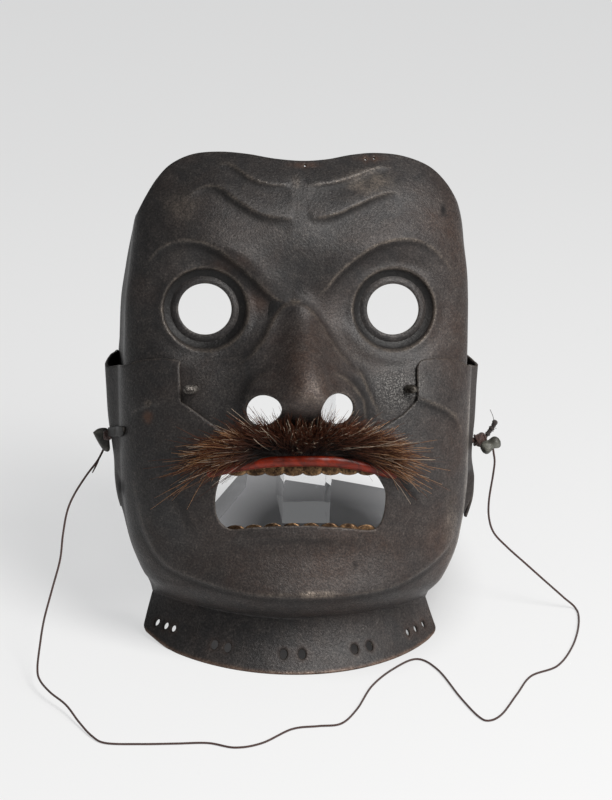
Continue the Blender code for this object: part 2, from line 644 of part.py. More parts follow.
LOCK_COLUMNS = ("across", "up", "tip_across", "tip_up", "tip_stand", "radius")
LOCKS = (
    (-33, 111.0, -66, 93.0, 7.5, 2.8),
    (-34, 112.0, -70, 99.5, 5.0, 2.8),
    (-30, 113.0, -62, 108.0, 6.0, 2.8),
    (-30, 111.0, -55, 96.0, 10.5, 2.6),
    (-24, 112.0, -44, 121.0, 4.0, 2.6),
    (-16, 111.0, -27, 121.0, 6.0, 2.6),
    (-8, 111.0, -9, 121.5, 7.0, 2.6),
    (1, 111.0, 2, 121.5, 8.0, 2.6),
    (9, 111.0, 12, 121.5, 7.0, 2.6),
    (17, 111.0, 26, 121.0, 6.0, 2.6),
    (25, 112.0, 42, 119.5, 4.0, 2.6),
    (31, 113.0, 58, 106.5, 6.0, 2.8),
    (33, 111.0, 68, 99.0, 5.0, 3.0),
    (33, 111.0, 64, 93.5, 8.0, 2.8),
)


def moustache(hair):
    """Bristle locks fused to a curved backing above the lip."""
    rings = []
    for across in np.linspace(-MOUSTACHE_HALF, MOUSTACHE_HALF, 13):
        base = float(front_at(across, 110.0)) + 1.1
        middle = 110.6 - 1.5 * (across / MOUSTACHE_HALF) ** 2
        shape = ((-3.6, 0.0), (3.0, 0.0), (3.6, 2.6), (0.0, 4.4), (-3.6, 3.0))
        rings.append([place(across, base + stand, middle + rise) for rise, stand in shape])
    backing = loft("moustache", rings, hair)
    verts, faces = [], []
    for across, up, tip_across, tip_up, tip_stand, radius in LOCKS:
        root = place(across, float(front_at(across, 110.0)) + 4.0, up - 1.5)
        tip_base = float(front_at(tip_across, tip_up))
        tip = place(tip_across, tip_base + tip_stand, tip_up)
        for ring in cone(root, tip, radius * MM * 0.8):
            verts += ring
        first = len(verts) - 15
        faces.append(tuple(range(first, first + 5)))
        faces.append(tuple(range(first + 14, first + 9, -1)))
        for r in range(2):
            for i in range(5):
                a, b = first + r * 5 + i, first + r * 5 + (i + 1) % 5
                faces.append((a, a + 5, b + 5, b))
    locks = as_cutter(mend(make_object("locks", verts, faces, None)))
    cut(backing, locks, "UNION")
    backing.modifiers["locks"].use_self = True
    return backing


def knot(side, silk):
    """The cord's knot, turned about X: a head inside the wing, a neck through its hole, a ball outside."""
    across, forward, up = wing_point(side)
    inner = WALL * 1.1 + 2.5 * FIT_GAP
    out, ball = KNOT_OUT[side], KNOT_RADIUS[side]
    profile = ((-inner - 1.9, 0.8), (-inner - 1.5, 2.3), (-inner, 2.4), (-inner, KNOT_NECK / 2),
               (2 * FIT_GAP, KNOT_NECK / 2), (2 * FIT_GAP, ball * 0.7), (out * 0.5, ball), (out * 0.85, ball * 0.7), (out, 0.8))
    rings = []
    for along, radius in profile:
        turns = [2 * math.pi * i / 8 for i in range(8)]
        rings.append([place(across + SIDES[side] * along, forward + radius * math.cos(turn),
                            up + radius * math.sin(turn)) for turn in turns])
    return loft("knot_" + side, rings, silk, 50)


def strap_left(leather):
    """A short black band that laps round the wing's front crease to the knot."""
    track = [wing_point("left", forward, STRAP_UP)[:2] for forward in (42.5, 48.0, 54.0)]
    track += [(-83.2, float(front_at(-83.2, STRAP_UP))), (-81.6, float(front_at(-81.6, STRAP_UP)))]
    track = np.array(track)
    along = np.gradient(track, axis=0)
    outward = np.stack([-along[:, 1], along[:, 0]], axis=1)
    outward /= np.linalg.norm(outward, axis=1)[:, None]
    rings = []
    for index, (spot, normal) in enumerate(zip(track, outward)):
        half = STRAP_TALL / 2 * (0.6 if index == len(track) - 1 else 1.0)
        near, far = spot + normal * 1.5 * FIT_GAP, spot + normal * (1.5 * FIT_GAP + STRAP_THICK)
        rings.append([place(*near, STRAP_UP - half), place(*far, STRAP_UP - half), place(*far, STRAP_UP + half),
                      place(*near, STRAP_UP + half)])
    return loft("strap_left", rings, leather)


def toggle_left(horn):
    """A flat three-cornered piece of horn just outside the left knot."""
    across, forward, up = wing_point("left")
    outline = ((-9.0, 1.2), (-3.2, 4.6), (-3.2, -4.4), (-1.4, -8.6), (-4.2, -8.2))
    near, far = ([place(across + x, forward + depth, up + rise) for x, rise in outline] for depth in (3.6, -2.4))
    return mend(make_object("toggle_left", *prism_mesh(near, far), horn, None))


def toggle_right(horn):
    """A rounded piece of horn with a waist, in front of the right knot."""
    across, forward, up = wing_point("right")
    middle = forward + 7.2
    start, end = Vector((across + 4.6, up - 4.4)), Vector((across + 13.6, up + 1.0))
    along = (end - start).normalized()
    rings = []
    for part, radius in ((0.0, 1.4), (0.1, 2.6), (0.3, 3.1), (0.5, 2.6), (0.7, 3.1), (0.9, 2.6), (1.0, 1.4)):
        spot = start.lerp(end, part)
        ring = []
        for i in range(8):
            turn = 2 * math.pi * i / 8
            side = radius * math.cos(turn)
            ring.append(place(spot.x - along.y * side, middle + radius * math.sin(turn), spot.y + along.x * side))
        rings.append(ring)
    return loft("toggle_right", rings, horn, 50)


def turned(across, along):
    """A point of the stand's base, turned about the base's back left corner, in world millimetres."""
    turn = math.radians(BASE_TURN)
    return (
        BASE_CORNER[0] + across * math.cos(turn) + along * math.sin(turn),
        BASE_CORNER[1] + across * math.sin(turn) - along * math.cos(turn),
    )


def world(across, along, up):
    """World millimetres, measured back from the flange's front, in metres of the finished part."""
    return ((across + WIDTH_SHIFT) * MM, (along + DEPTH_SHIFT) * MM, up * MM)


def stand_base(acrylic):
    outline = [turned(*corner) for corner in ((0, 0), (BASE_WIDTH, 0), (BASE_WIDTH, BASE_DEPTH), (0, BASE_DEPTH))]
    low, high = ([world(x, y, z) for x, y in outline] for z in (0.0, BASE_THICK))
    return mend(make_object("stand_base", *prism_mesh(low, high), acrylic))


def stand_post(acrylic):
    """An upright bar with an arm that reaches forward into the hollow of the forehead."""
    lean = math.radians(LEAN)
    across, up = np.meshgrid(np.linspace(-0.5, 0.5, 9) * POST_WIDTH + POST_MIDDLE,
                             np.linspace(-0.6, 0.6, 9) * ARM_THICK + ARM_UP)
    inner = float(front_at(across, up).min()) - 2 * WALL - LAP - ARM_GAP

    def rest(up):
        behind = FLANGE_FRONT - inner
        return behind * math.cos(lean) + up * math.sin(lean), up * math.cos(lean) - behind * math.sin(lean)

    low_rest, high_rest = rest(ARM_UP - ARM_THICK / 2), rest(ARM_UP + ARM_THICK / 2)
    foot = BASE_THICK + FIT_GAP
    outline = (
        (POST_FRONT, foot), (POST_FRONT, low_rest[1] - 1.0), (low_rest[0] + 1.0, low_rest[1] - 1.0), low_rest,
        high_rest, (high_rest[0] + 1.0, high_rest[1] + 0.5), (POST_FRONT + POST_DEPTH, high_rest[1] + 0.5),
        (POST_FRONT + POST_DEPTH, foot),
    )
    left, right = ([world(x, y, z) for y, z in outline]
                   for x in (POST_MIDDLE - POST_WIDTH / 2, POST_MIDDLE + POST_WIDTH / 2))
    return mend(make_object("stand_post", *prism_mesh(left, right), acrylic))


def tie_cord(silk):
    """One soft cord from toggle to toggle, down to the ground on both sides and round in front."""
    knots = np.arange(len(CORD_ROUTE), dtype=float)
    fine = np.linspace(0, knots[-1], 2000)
    path = np.stack([smooth(fine, knots, np.array(CORD_ROUTE)[:, i]) for i in range(3)], axis=1)
    run = np.concatenate([[0], np.cumsum(np.linalg.norm(np.diff(path, axis=0), axis=1))])
    evenly = np.linspace(0, run[-1], CORD_POINTS)
    points = np.stack([np.interp(evenly, run, path[:, i]) for i in range(3)], axis=1)
    points[:, 2] = np.maximum(points[:, 2], CORD_DIAMETER / 2 + 0.03)
    print(f"tie cord length {run[-1]:.1f} mm")
    return tube("tie_cord", [world(*point) for point in points], CORD_DIAMETER, silk)


def cord_end(side, silk):
    """A short cut end left over beyond the knot."""
    return tube("cord_end_" + side, [world(*point) for point in CORD_ENDS[side]], CORD_DIAMETER, silk, 1)


def build():
    for obj in list(bpy.data.objects):
        bpy.data.objects.remove(obj, do_unlink=True)
    iron = material("russet_iron", (0.06, 0.052, 0.048), 0.55, 0.6)
    lacquer = material("red_lacquer", (0.35, 0.04, 0.02), 0.3)
    gilt = material("gilt_teeth", (0.35, 0.22, 0.09), 0.35, 1.0)
    hair = material("bristle", (0.05, 0.03, 0.02), 0.7)
    silk = material("cord_silk", (0.07, 0.03, 0.025), 0.8)
    leather = material("black_leather", (0.012, 0.011, 0.01), 0.5)
    horn = material("toggle_horn", (0.12, 0.12, 0.11), 0.5)
    upper_face(iron)
    lower_face(iron)
    upper_lip(lacquer)
    teeth("upper_teeth", 102.5, (98.8, 96.0), gilt)
    teeth("lower_teeth", 66.0, (71.4, 74.0), gilt)
    for side in SIDES:
        peg(side, iron)
        knot(side, silk)
        cord_end(side, silk)
    strap_left(leather)
    toggle_left(horn)
    toggle_right(horn)
    moustache(hair)
    acrylic = material("clear_acrylic", (0.95, 0.97, 0.97), 0.03, see_through=1.0)
    stand_base(acrylic)
    stand_post(acrylic)
    tie_cord(silk)


build()
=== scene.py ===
import math

import bmesh
import bpy
import numpy as np
from mathutils import Matrix, Vector


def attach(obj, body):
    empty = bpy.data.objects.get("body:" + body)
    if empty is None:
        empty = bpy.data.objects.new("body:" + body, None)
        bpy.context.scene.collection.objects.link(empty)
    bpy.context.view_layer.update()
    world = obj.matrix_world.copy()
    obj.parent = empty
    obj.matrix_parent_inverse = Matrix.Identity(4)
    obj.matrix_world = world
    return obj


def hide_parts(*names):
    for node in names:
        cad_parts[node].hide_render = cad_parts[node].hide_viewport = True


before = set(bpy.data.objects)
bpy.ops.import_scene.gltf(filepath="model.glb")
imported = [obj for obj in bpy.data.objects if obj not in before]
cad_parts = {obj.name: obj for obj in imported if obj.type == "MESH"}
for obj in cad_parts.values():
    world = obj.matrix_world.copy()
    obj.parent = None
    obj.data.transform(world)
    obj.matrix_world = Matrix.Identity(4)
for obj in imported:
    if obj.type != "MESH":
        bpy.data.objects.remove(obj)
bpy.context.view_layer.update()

sides = {"Left": -1, "Right": 1}
print("stage: frame loaded")

# The mask's own frame in millimetres: across to the viewer's right, forward out of the face, up along it
maskFrame = {"lean": math.radians(20.0), "flangeFront": 80.0, "depthShift": -89.35, "widthShift": -0.58}
leanCos, leanSin = math.cos(maskFrame["lean"]), math.sin(maskFrame["lean"])


def onGround(across, along, up):
    # metres, from millimetres across, back from the flange's front edge and above the ground
    spot = np.add(across, maskFrame["widthShift"]), np.add(along, maskFrame["depthShift"]), up
    return np.stack(np.broadcast_arrays(*spot), axis=-1) * 0.001


def place(across, forward, up):
    behind = np.subtract(maskFrame["flangeFront"], forward)
    return onGround(across, behind * leanCos + np.multiply(up, leanSin), np.multiply(up, leanCos) - behind * leanSin)


def smooth(at, knots, values):
    # a curve through the knots with no corners
    knots, values = np.asarray(knots, dtype=float), np.asarray(values, dtype=float)
    slopes = np.gradient(values, knots)
    at = np.clip(at, knots[0], knots[-1])
    i = np.clip(np.searchsorted(knots, at) - 1, 0, len(knots) - 2)
    step = knots[i + 1] - knots[i]
    t = (at - knots[i]) / step
    return (values[i] * (2 * t**3 - 3 * t**2 + 1) + slopes[i] * step * (t**3 - 2 * t**2 + t)
            + values[i + 1] * (3 * t**2 - 2 * t**3) + slopes[i + 1] * step * (t**3 - t**2))


def curveThrough(points, count):
    # so many places on the smooth line through the points
    points = np.asarray(points, dtype=float)
    knots = np.arange(len(points))
    fine = np.linspace(0, knots[-1], count)
    return np.stack([smooth(fine, knots, column) for column in points.T], axis=1)


def runLength(points):
    return np.concatenate([[0], np.cumsum(np.linalg.norm(np.diff(points, axis=0), axis=1))])


def evenPath(points, step):
    # the smooth line through the points in even steps, and its length
    path = curveThrough(points, 60 * len(points))
    run = runLength(path)
    evenly = np.linspace(0, run[-1], max(4, int(run[-1] / step)))
    return np.stack([np.interp(evenly, run, column) for column in path.T], axis=1), run[-1]


def ease(t):
    t = np.clip(t, 0.0, 1.0)
    return t * t * (3 - 2 * t)


def bell(distance, width=1.0):
    return np.exp(-((distance / width) ** 2))


def addObject(name, data):
    obj = bpy.data.objects.new(name, data)
    bpy.context.scene.collection.objects.link(obj)
    return obj


def newObject(name, verts, faces, finish=None, edges=()):
    mesh = bpy.data.meshes.new(name)
    mesh.from_pydata([tuple(map(float, v)) for v in verts], edges, faces)
    mesh.update()
    if finish:
        mesh.materials.append(finish)
    mesh.shade_smooth()
    return addObject(name, mesh)


def faceOut(obj, mergeWithin=0.0):
    # turns every face outwards, after corners closer than mergeWithin have become one
    mesh = bmesh.new()
    mesh.from_mesh(obj.data)
    if mergeWithin:
        bmesh.ops.remove_doubles(mesh, verts=mesh.verts, dist=mergeWithin)
    bmesh.ops.recalc_face_normals(mesh, faces=mesh.faces)
    mesh.to_mesh(obj.data)
    mesh.free()
    return obj


def loftFaces(ringCount, ringSize):
    # rings joined one to the next, and closed at both ends
    faces = []
    for r in range(ringCount - 1):
        for i in range(ringSize):
            a, b = r * ringSize + i, r * ringSize + (i + 1) % ringSize
            faces.append((a, b, b + ringSize, a + ringSize))
    return faces + [tuple(range(ringSize - 1, -1, -1)), tuple(range((ringCount - 1) * ringSize, ringCount * ringSize))]


def loft(name, verts, ringSize, finish=None):
    return faceOut(newObject(name, verts, loftFaces(len(verts) // ringSize, ringSize), finish))


def setAttribute(obj, name, values, kind="FLOAT"):
    layer = obj.data.attributes.new(name, kind, "POINT")
    layer.data.foreach_set("value" if kind == "FLOAT" else "vector", np.array(values, dtype=np.float32).ravel())


def standsFor(obj, cadNode):
    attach(obj, "root")
    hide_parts(cadNode)
    return obj


def setInputs(tree, node, values):
    # by name or number; another node's socket is linked, and a colour is given its alpha
    for key, value in values.items():
        socket = node.inputs[key]
        if isinstance(value, bpy.types.NodeSocket):
            tree.links.new(value, socket)
        else:
            socket.default_value = (*value, 1.0) if socket.type == "RGBA" else value


def addNode(tree, kind, values=None, **settings):
    node = tree.nodes.new(kind)
    for key, value in settings.items():
        setattr(node, key, value)
    setInputs(tree, node, values or {})
    return node


def output(tree, kind, result, values=None, **settings):
    return addNode(tree, kind, values, **settings).outputs[result]


def noise(tree, where, size, detail=3.0, rough=0.55, warp=0.0):
    # size is the width of one blotch in millimetres
    return output(tree, "ShaderNodeTexNoise", "Fac", {
        "Vector": where, "Scale": 1000.0 / size, "Detail": detail, "Roughness": rough, "Distortion": warp})


def cells(tree, where, size):
    return output(tree, "ShaderNodeTexVoronoi", "Distance", {"Vector": where, "Scale": 1000.0 / size})


def between(tree, value, low, high, outLow=0.0, outHigh=1.0):
    return output(tree, "ShaderNodeMapRange", "Result", {
        "Value": value, "From Min": low, "From Max": high, "To Min": outLow, "To Max": outHigh}, clamp=True)


def mixColour(tree, factor, first, second, mode="MIX"):
    return output(tree, "ShaderNodeMix", 2, {0: factor, 6: first, 7: second},
                  data_type="RGBA", blend_type=mode, clamp_factor=True)


def calculate(tree, operation, *values):
    # the operation on the first two values, then on that and the next
    result = values[0]
    for value in values[1:]:
        result = output(tree, "ShaderNodeMath", 0, {0: result, 1: value}, operation=operation)
    return result


def attributeOf(tree, name):
    return output(tree, "ShaderNodeAttribute", "Fac", attribute_name=name)


def bump(tree, height, depth, strength=1.0, under=None):
    # depth in millimetres, over another bump or none
    values = {"Height": height, "Distance": depth * 0.001, "Strength": strength}
    return output(tree, "ShaderNodeBump", "Normal", values | ({"Normal": under} if under else {}))


def newMaterial(name, values=None):
    made = bpy.data.materials.new(name)
    made.use_nodes = True
    shade(made, values or {})
    return made, made.node_tree, output(made.node_tree, "ShaderNodeTexCoord", "Object")


def shade(made, values):
    setInputs(made.node_tree, made.node_tree.nodes["Principled BSDF"], values)
    return made


def patchyMaterial(name, look, colours, values=None):
    # patches of the second colour over the first, then of the third; a pattern of one number is cells, not noise
    made, tree, where = newMaterial(name, values)
    patterns = {key: (noise if len(numbers) > 1 else cells)(tree, where, *numbers)
                for key, numbers in look["patterns"].items()}
    colour, normal = colours[0], None
    for (pattern, *limits), over in zip(look["mixes"], colours[1:]):
        colour = mixColour(tree, between(tree, patterns[pattern], *limits), colour, over)
    for pattern, depth, strength in look["bumps"]:
        normal = bump(tree, patterns[pattern], depth, strength, normal)
    if "rough" in look:
        pattern, low, high = look["rough"]
        shade(made, {"Roughness": between(tree, patterns[pattern], 0.3, 0.7, low, high)})
    return shade(made, {"Base Color": colour, "Normal": normal})


cameraLook = {
    "azimuth": -7.0,
    "elevation": 24.0,
    "roll": 2.7,
    "distance": 1.6,
    "target": (-0.00058, -0.04694, 0.11652),
    "lens": 151.3,
    "shift": (0.0081, 0.0206),
}


def makeCamera(look):
    around, height, roll = (math.radians(look[key]) for key in ("azimuth", "elevation", "roll"))
    back = Vector((math.sin(around) * math.cos(height), -math.cos(around) * math.cos(height), math.sin(height)))
    level = Vector((math.cos(around), math.sin(around), 0.0))
    upright = back.cross(level)
    right = level * math.cos(roll) + upright * math.sin(roll)
    top = upright * math.cos(roll) - level * math.sin(roll)
    data = bpy.data.cameras.new("mainCamera")
    data.lens = look["lens"]
    data.sensor_width = 36.0
    data.shift_x, data.shift_y = look["shift"]
    data.clip_start, data.clip_end = 0.05, 30.0
    camera = addObject("mainCamera", data)
    turn = Matrix((right, top, back)).transposed().to_4x4()
    camera.matrix_world = Matrix.Translation(Vector(look["target"]) + back * look["distance"]) @ turn
    bpy.context.scene.camera = camera


floorLook = {
    "colours": ((0.29, 0.29, 0.29), (0.30, 0.30, 0.30)),
    "glow": (-0.25, 0.60, 0.60, 0.555),  # near and far along the floor, metres, and its own faint light there
    "glowColour": (0.99, 0.995, 1.0),
    # under the mask a painted shadow darkens it in an oval, from its rim to its heart, and dims its glow
    "ovalMiddle": (0.022, 0.030, 0.0),
    "ovalShape": (0.66, 1.0, 1.0),
    "ovalReach": (0.046, 0.130, 1.0, 0.0),
    "ovalPower": 1.5,
    "ovalDepth": 0.91,
    "paintedShadowColour": (0.13, 0.125, 0.125),
    # just inside the flange, before the stand, a painted shade makes it darkest
    "flangeReach": (0.0765, 0.082),
    "flangeFront": (-0.053, -0.047, 0.07, 1.0),
    "insideShadeColour": (0.10, 0.068, 0.060),
    "radius": 3.6,
}


def makeFloor(look):
    finish, tree, where = newMaterial("paleFloor", {
        "Roughness": 0.9, "Specular IOR Level": 0.1, "Emission Color": look["glowColour"]})

    def lengthOf(vector):
        return output(tree, "ShaderNodeVectorMath", "Value", {0: vector}, operation="LENGTH")

    along = output(tree, "ShaderNodeSeparateXYZ", "Y", {"Vector": where})
    oval = output(tree, "ShaderNodeMapping", "Vector", {
        "Vector": where, "Location": look["ovalMiddle"], "Scale": look["ovalShape"]}, vector_type="TEXTURE")
    # a painted shadow under the mask, darkening the floor's colour and its glow
    paintedShadow = calculate(tree, "POWER", between(tree, lengthOf(oval), *look["ovalReach"]), look["ovalPower"])
    paintedShadow = calculate(tree, "SUBTRACT", 1.0, calculate(tree, "MULTIPLY", paintedShadow, look["ovalDepth"]))
    # painted shade inside the flange, darkening the floor there and cutting its glow
    outside = calculate(tree, "MAXIMUM", between(tree, lengthOf(where), *look["flangeReach"]),
                        between(tree, along, *look["flangeFront"]))
    colour = mixColour(tree, between(tree, noise(tree, where, 600.0, 2.0), 0.3, 0.7, 0.985, 1.0), *look["colours"])
    colour = mixColour(tree, paintedShadow, look["paintedShadowColour"], colour)
    shade(finish, {
        "Base Color": mixColour(tree, outside, look["insideShadeColour"], colour),
        "Emission Strength": calculate(tree, "MULTIPLY", between(tree, along, *look["glow"]), paintedShadow, outside)})
    turns = 2 * math.pi * np.arange(64) / 64
    rim = np.stack([np.cos(turns) * look["radius"], np.sin(turns) * look["radius"], np.full(64, -0.00002)], axis=1)
    floor = newObject("floorDisc", rim, [tuple(range(64))], finish)
    floor.data.shade_flat()


lightLook = {
    "world": (0.98, 0.99, 1.0),
    "worldStrength": 0.16,
    "aim": (0.0, -0.02, 0.11),
    # where it stands, metres; its size; its power; its colour
    "keyLamp": ((0.52, -0.66, 1.38), 0.70, 18.0, (1.0, 0.985, 0.965)),
    "sideLamp": ((0.98, -1.05, 1.05), 1.1, 13.5, (1.0, 0.985, 0.965)),
}


def makeLights(look):
    world = bpy.data.worlds.new("studioWorld")
    world.use_nodes = True
    setInputs(world.node_tree, world.node_tree.nodes["Background"], {0: look["world"], 1: look["worldStrength"]})
    bpy.context.scene.world = world
    for name in ("keyLamp", "sideLamp"):
        data = bpy.data.lights.new(name, "AREA")
        data.shape = "DISK"
        spot, data.size, data.energy, data.color = look[name]
        turn = (Vector(look["aim"]) - Vector(spot)).to_track_quat("-Z", "Y").to_matrix().to_4x4()
        addObject(name, data).matrix_world = Matrix.Translation(spot) @ turn


bpy.context.scene.view_settings.view_transform = "Standard"
makeCamera(cameraLook)
makeFloor(floorLook)
makeLights(lightLook)
print("stage: camera, floor and lights")

cordLook = {
    "diameter": 1.1,
    "strands": 3,
    "twist": 3.4,  # millimetres for one turn of the strands
    "sides": 12,
    "step": 0.6,
    "colours": ((0.020, 0.009, 0.008), (0.085, 0.035, 0.026), (0.05, 0.038, 0.033)),
    "patterns": {"fibres": (0.5, 4.0, 0.7), "wear": (14.0, 3.0)},
    "mixes": (("fibres", 0.35, 0.68), ("wear", 0.52, 0.75, 0.0, 0.5)),
    "bumps": (("fibres", 0.15, 1.0),),
    "sheen": {"Roughness": 0.75, "Sheen Weight": 0.3, "Sheen Roughness": 0.5},
    # across, back from the flange's front edge, up
    "route": (
        (-90.4, 77.2, 85.2), (-91.9, 76, 82), (-94.3, 74, 78.4), (-99.5, 71, 72.3), (-105.4, 66, 64.5),
        (-108.9, 60, 58.3), (-111.1, 52, 49.8), (-112.7, 43, 40.9), (-116.9, 31, 30.8), (-121, 18, 21.5),
        (-123.2, 7, 13.9), (-124.7, -5, 8), (-123.8, -13, 5.9), (-119.4, -23, 4.9), (-112.3, -34, 4),
        (-106.8, -46.5, 1.9), (-101.3, -58, 0.9), (-95.2, -64.1, 0.6), (-79.7, -65.4, 0.6), (-63.6, -65.4, 0.6),
        (-48.4, -65.3, 0.6), (-36.3, -69.8, 0.6), (-23.5, -66, 0.6), (-8.4, -53.4, 0.6), (4, -50.9, 0.6),
        (15.1, -48.8, 0.6), (24.2, -35.2, 0.6), (34, -13, 0.6), (46.3, 3.7, 0.6), (59.3, 13.6, 0.6),
        (68, 2.2, 0.6), (74.7, -24.8, 0.6), (80.5, -43.3, 0.6), (85, -47.8, 0.6), (92.2, -41.7, 0.6),
        (102.5, -22.5, 0.6), (112.2, -4.9, 0.6), (126.6, 4.9, 0.6), (137.4, 24.2, 0.6), (144.8, 47.2, 0.6),
        (146.6, 64.4, 0.6), (139.9, 66, 6.6), (130.3, 67, 15.1), (119.8, 69, 24.2), (110.5, 71, 32.2),
        (103.8, 73, 39), (101, 74.5, 46.6), (100.6, 76, 55.8), (101.9, 77, 69), (102.3, 77.5, 75.9),
        (101.6, 78, 80.5), (100.9, 78.6, 84.2)),
}


def twistedTube(path, diameter, sideCount, strands=0, twist=1.0, taper=None):
    # a cord of twisted strands, or a plain bar, along points in metres
    tangent = np.gradient(path, axis=0)
    tangent /= np.linalg.norm(tangent, axis=1)[:, None]
    across = np.cross(tangent[0], (0.0, 0.3, 1.0))
    across /= np.linalg.norm(across)
    turns = 2 * math.pi * np.arange(sideCount) / sideCount
    verts = []
    for index, (spot, along, run) in enumerate(zip(path, tangent, runLength(path))):
        across = across - along * np.dot(across, along)
        across /= np.linalg.norm(across)
        other = np.cross(along, across)
        radius = np.full(sideCount, diameter / 2)
        if strands:
            wave = np.abs(np.cos(strands / 2 * (turns - 2 * math.pi * run / (twist * 0.001))))
            radius = radius * (0.80 + 0.20 * wave)
        if taper is not None:
            radius = radius * taper[index]
        verts += list(spot + np.outer(np.cos(turns) * radius, across) + np.outer(np.sin(turns) * radius, other))
    return verts, loftFaces(len(path), sideCount)


silk = patchyMaterial("tieCordSilk", cordLook, cordLook["colours"], cordLook["sheen"])


def makeTieCord(look):
    path, length = evenPath(look["route"], look["step"])
    path[:, 2] = np.maximum(path[:, 2], look["diameter"] / 2 + 0.03)
    path = onGround(*path.T)
    tube = twistedTube(path, look["diameter"] * 0.001, look["sides"], look["strands"], look["twist"])
    return standsFor(newObject("tieCord", *tube, silk), "tie_cord"), path, length * 0.001


tieCord, cordPath, cordLength = makeTieCord(cordLook)
print(f"stage: tie cord, {cordLength:.3f} m")

ironLook = {
    "cool": (0.030, 0.0285, 0.0285),
    "warm": (0.052, 0.034, 0.027),
    "dust": (0.085, 0.074, 0.068),
    "dark": (0.010, 0.008, 0.008),
    "worn": (0.27, 0.225, 0.185),
    "rust": (0.15, 0.060, 0.026),
    # darkens real stains, and as painted shade the hollows of the relief
    "grimeAndShade": (0.006, 0.005, 0.005),
    "fleck": (0.20, 0.192, 0.180),
    "metallic": (0.15, 0.8),  # as it is, and where it is rubbed
    "specular": 0.36,
    "patches": (34.0, 3.0, 0.6, 0.4),
    "mottle": (5.0, 4.0, 0.6),
    "grain": (0.95, 3.0, 0.75),
    "speck": (0.62, 2.0, 0.7),
    "pits": 1.7,
}


def ironMaterial(name, look):
    made, tree, where = newMaterial(name, {"Specular IOR Level": look["specular"]})
    patches, mottle, grain, speck = (noise(tree, where, *look[key]) for key in ("patches", "mottle", "grain", "speck"))
    wear, grimeAndShade, rust, fleck, paintedLightTone, warmth = (
        attributeOf(tree, key) for key in ("wear", "grimeAndShade", "rust", "fleck", "paintedLightTone", "warmth"))
    warmth = between(tree, calculate(tree, "ADD", warmth, between(tree, patches, 0.42, 0.66, -0.2, 0.35)), 0.0, 1.0)
    rubbed = calculate(tree, "MULTIPLY", wear, between(tree, grain, 0.36, 0.60, 0.15, 1.0),
                       between(tree, mottle, 0.36, 0.58, 0.35, 1.0))
    colour = mixColour(tree, warmth, look["cool"], look["warm"])
    for key, share in (
            ("dust", between(tree, mottle, 0.38, 0.72, 0.0, 0.42)),
            ("dark", between(tree, grain, 0.34, 0.60, 0.80, 0.0)),
            ("worn", calculate(tree, "MULTIPLY", between(tree, grain, 0.58, 0.74),
                               between(tree, mottle, 0.35, 0.6, 0.04, 0.22))),
            ("rust", calculate(tree, "MULTIPLY", rust, between(tree, mottle, 0.3, 0.6, 0.3, 1.0))),
            ("worn", rubbed), ("grimeAndShade", grimeAndShade),
            ("grimeAndShade", calculate(tree, "MULTIPLY", fleck, between(tree, speck, 0.50, 0.42))),
            ("fleck", calculate(tree, "MULTIPLY", fleck, between(tree, speck, 0.53, 0.62)))):
        colour = mixColour(tree, share, colour, look[key])
    # the colour is multiplied by painted light, lighter to the right and paler on the nose
    paintedLightTones = output(tree, "ShaderNodeCombineColor", "Color", {"Red": paintedLightTone, "Green": paintedLightTone, "Blue": paintedLightTone})
    gloss = calculate(tree, "ADD", between(tree, grain, 0.3, 0.75, 0.50, 0.36),
                      between(tree, patches, 0.35, 0.65, -0.04, 0.05), calculate(tree, "MULTIPLY", grimeAndShade, 0.35))
    relief = bump(tree, cells(tree, where, look["pits"]), 0.25, 0.30, bump(tree, mottle, 0.35, 0.30))
    return shade(made, {
        "Base Color": mixColour(tree, 1.0, colour, paintedLightTones, "MULTIPLY"),
        "Roughness": calculate(tree, "SUBTRACT", gloss, calculate(tree, "MULTIPLY", rubbed, 0.22)),
        "Metallic": between(tree, rubbed, 0.0, 1.0, *look["metallic"]),
        "Normal": bump(tree, grain, 0.25, 0.90, relief)})


iron = ironMaterial("russetIron", ironLook)

# The face at each height, millimetres, as its plates are beaten out
faceForm = {
    "up": (27, 40, 50, 60, 69, 78, 90, 105, 120, 140, 152, 165, 180, 192, 205, 220, 235, 252),
    "halfWidth": (67, 70.5, 75.2, 78.9, 80.9, 82.3, 83.6, 84.2, 84.6, 85.2, 85.5, 85.5, 85.2, 84.3, 82.9, 81, 75.8, 65),
    "front": (94, 94.5, 93.5, 92, 93, 94, 95.5, 97, 96, 94.5, 91.5, 88, 86.5, 88, 88.5, 85, 78, 64),
    "sideStart": (46, 48, 52, 55, 57, 59, 60, 60, 60, 60, 60, 60, 60, 59, 57, 54, 50, 44),
    "back": (38, 40, 42, 42, 35, 18, 14, 14, 14, 14, 18, 24, 25, 26, 28, 34, 40, 42),
    "squareness": (2, 2, 2) + (2.1,) * 15,
    "middle": (0.5, 1.6, 1.5, 1.1, 0.7, 0.6, 0.4, 0.2, 0.2, 0.3, 0.5, 0.7, 1.0, 1.5, 1.6, 2.1, 2.8, 3.2),
    "wall": 1.6,
    "lap": 0.8,
}
noseForm = {
    "up": (106, 113, 118, 124, 130, 137, 144, 152, 160, 168, 176, 184, 192),
    "stand": (0, 0.5, 4.5, 13, 20.5, 23.5, 21.5, 18, 13.5, 8.5, 3.5, 0.5, 0),
    "bridge": (13, 13, 12.5, 12.5, 13.5, 14, 13, 12, 10.5, 8.5, 7, 7, 7),
    "squareness": (2.2, 0.9, 132, 12),  # all along it, and how much more at the tip's height and spread
    # how far its wings and its root stand out, then their middles and sizes across and up
    "wing": (10.5, 18.5, 9.5, 130, 12.5),
    "wingSquareness": 2.4,
    "wingInside": (0.45, 11),  # how much less they stand out beside the middle
    "root": (7, 27, 118, 16, 172, 26),
}
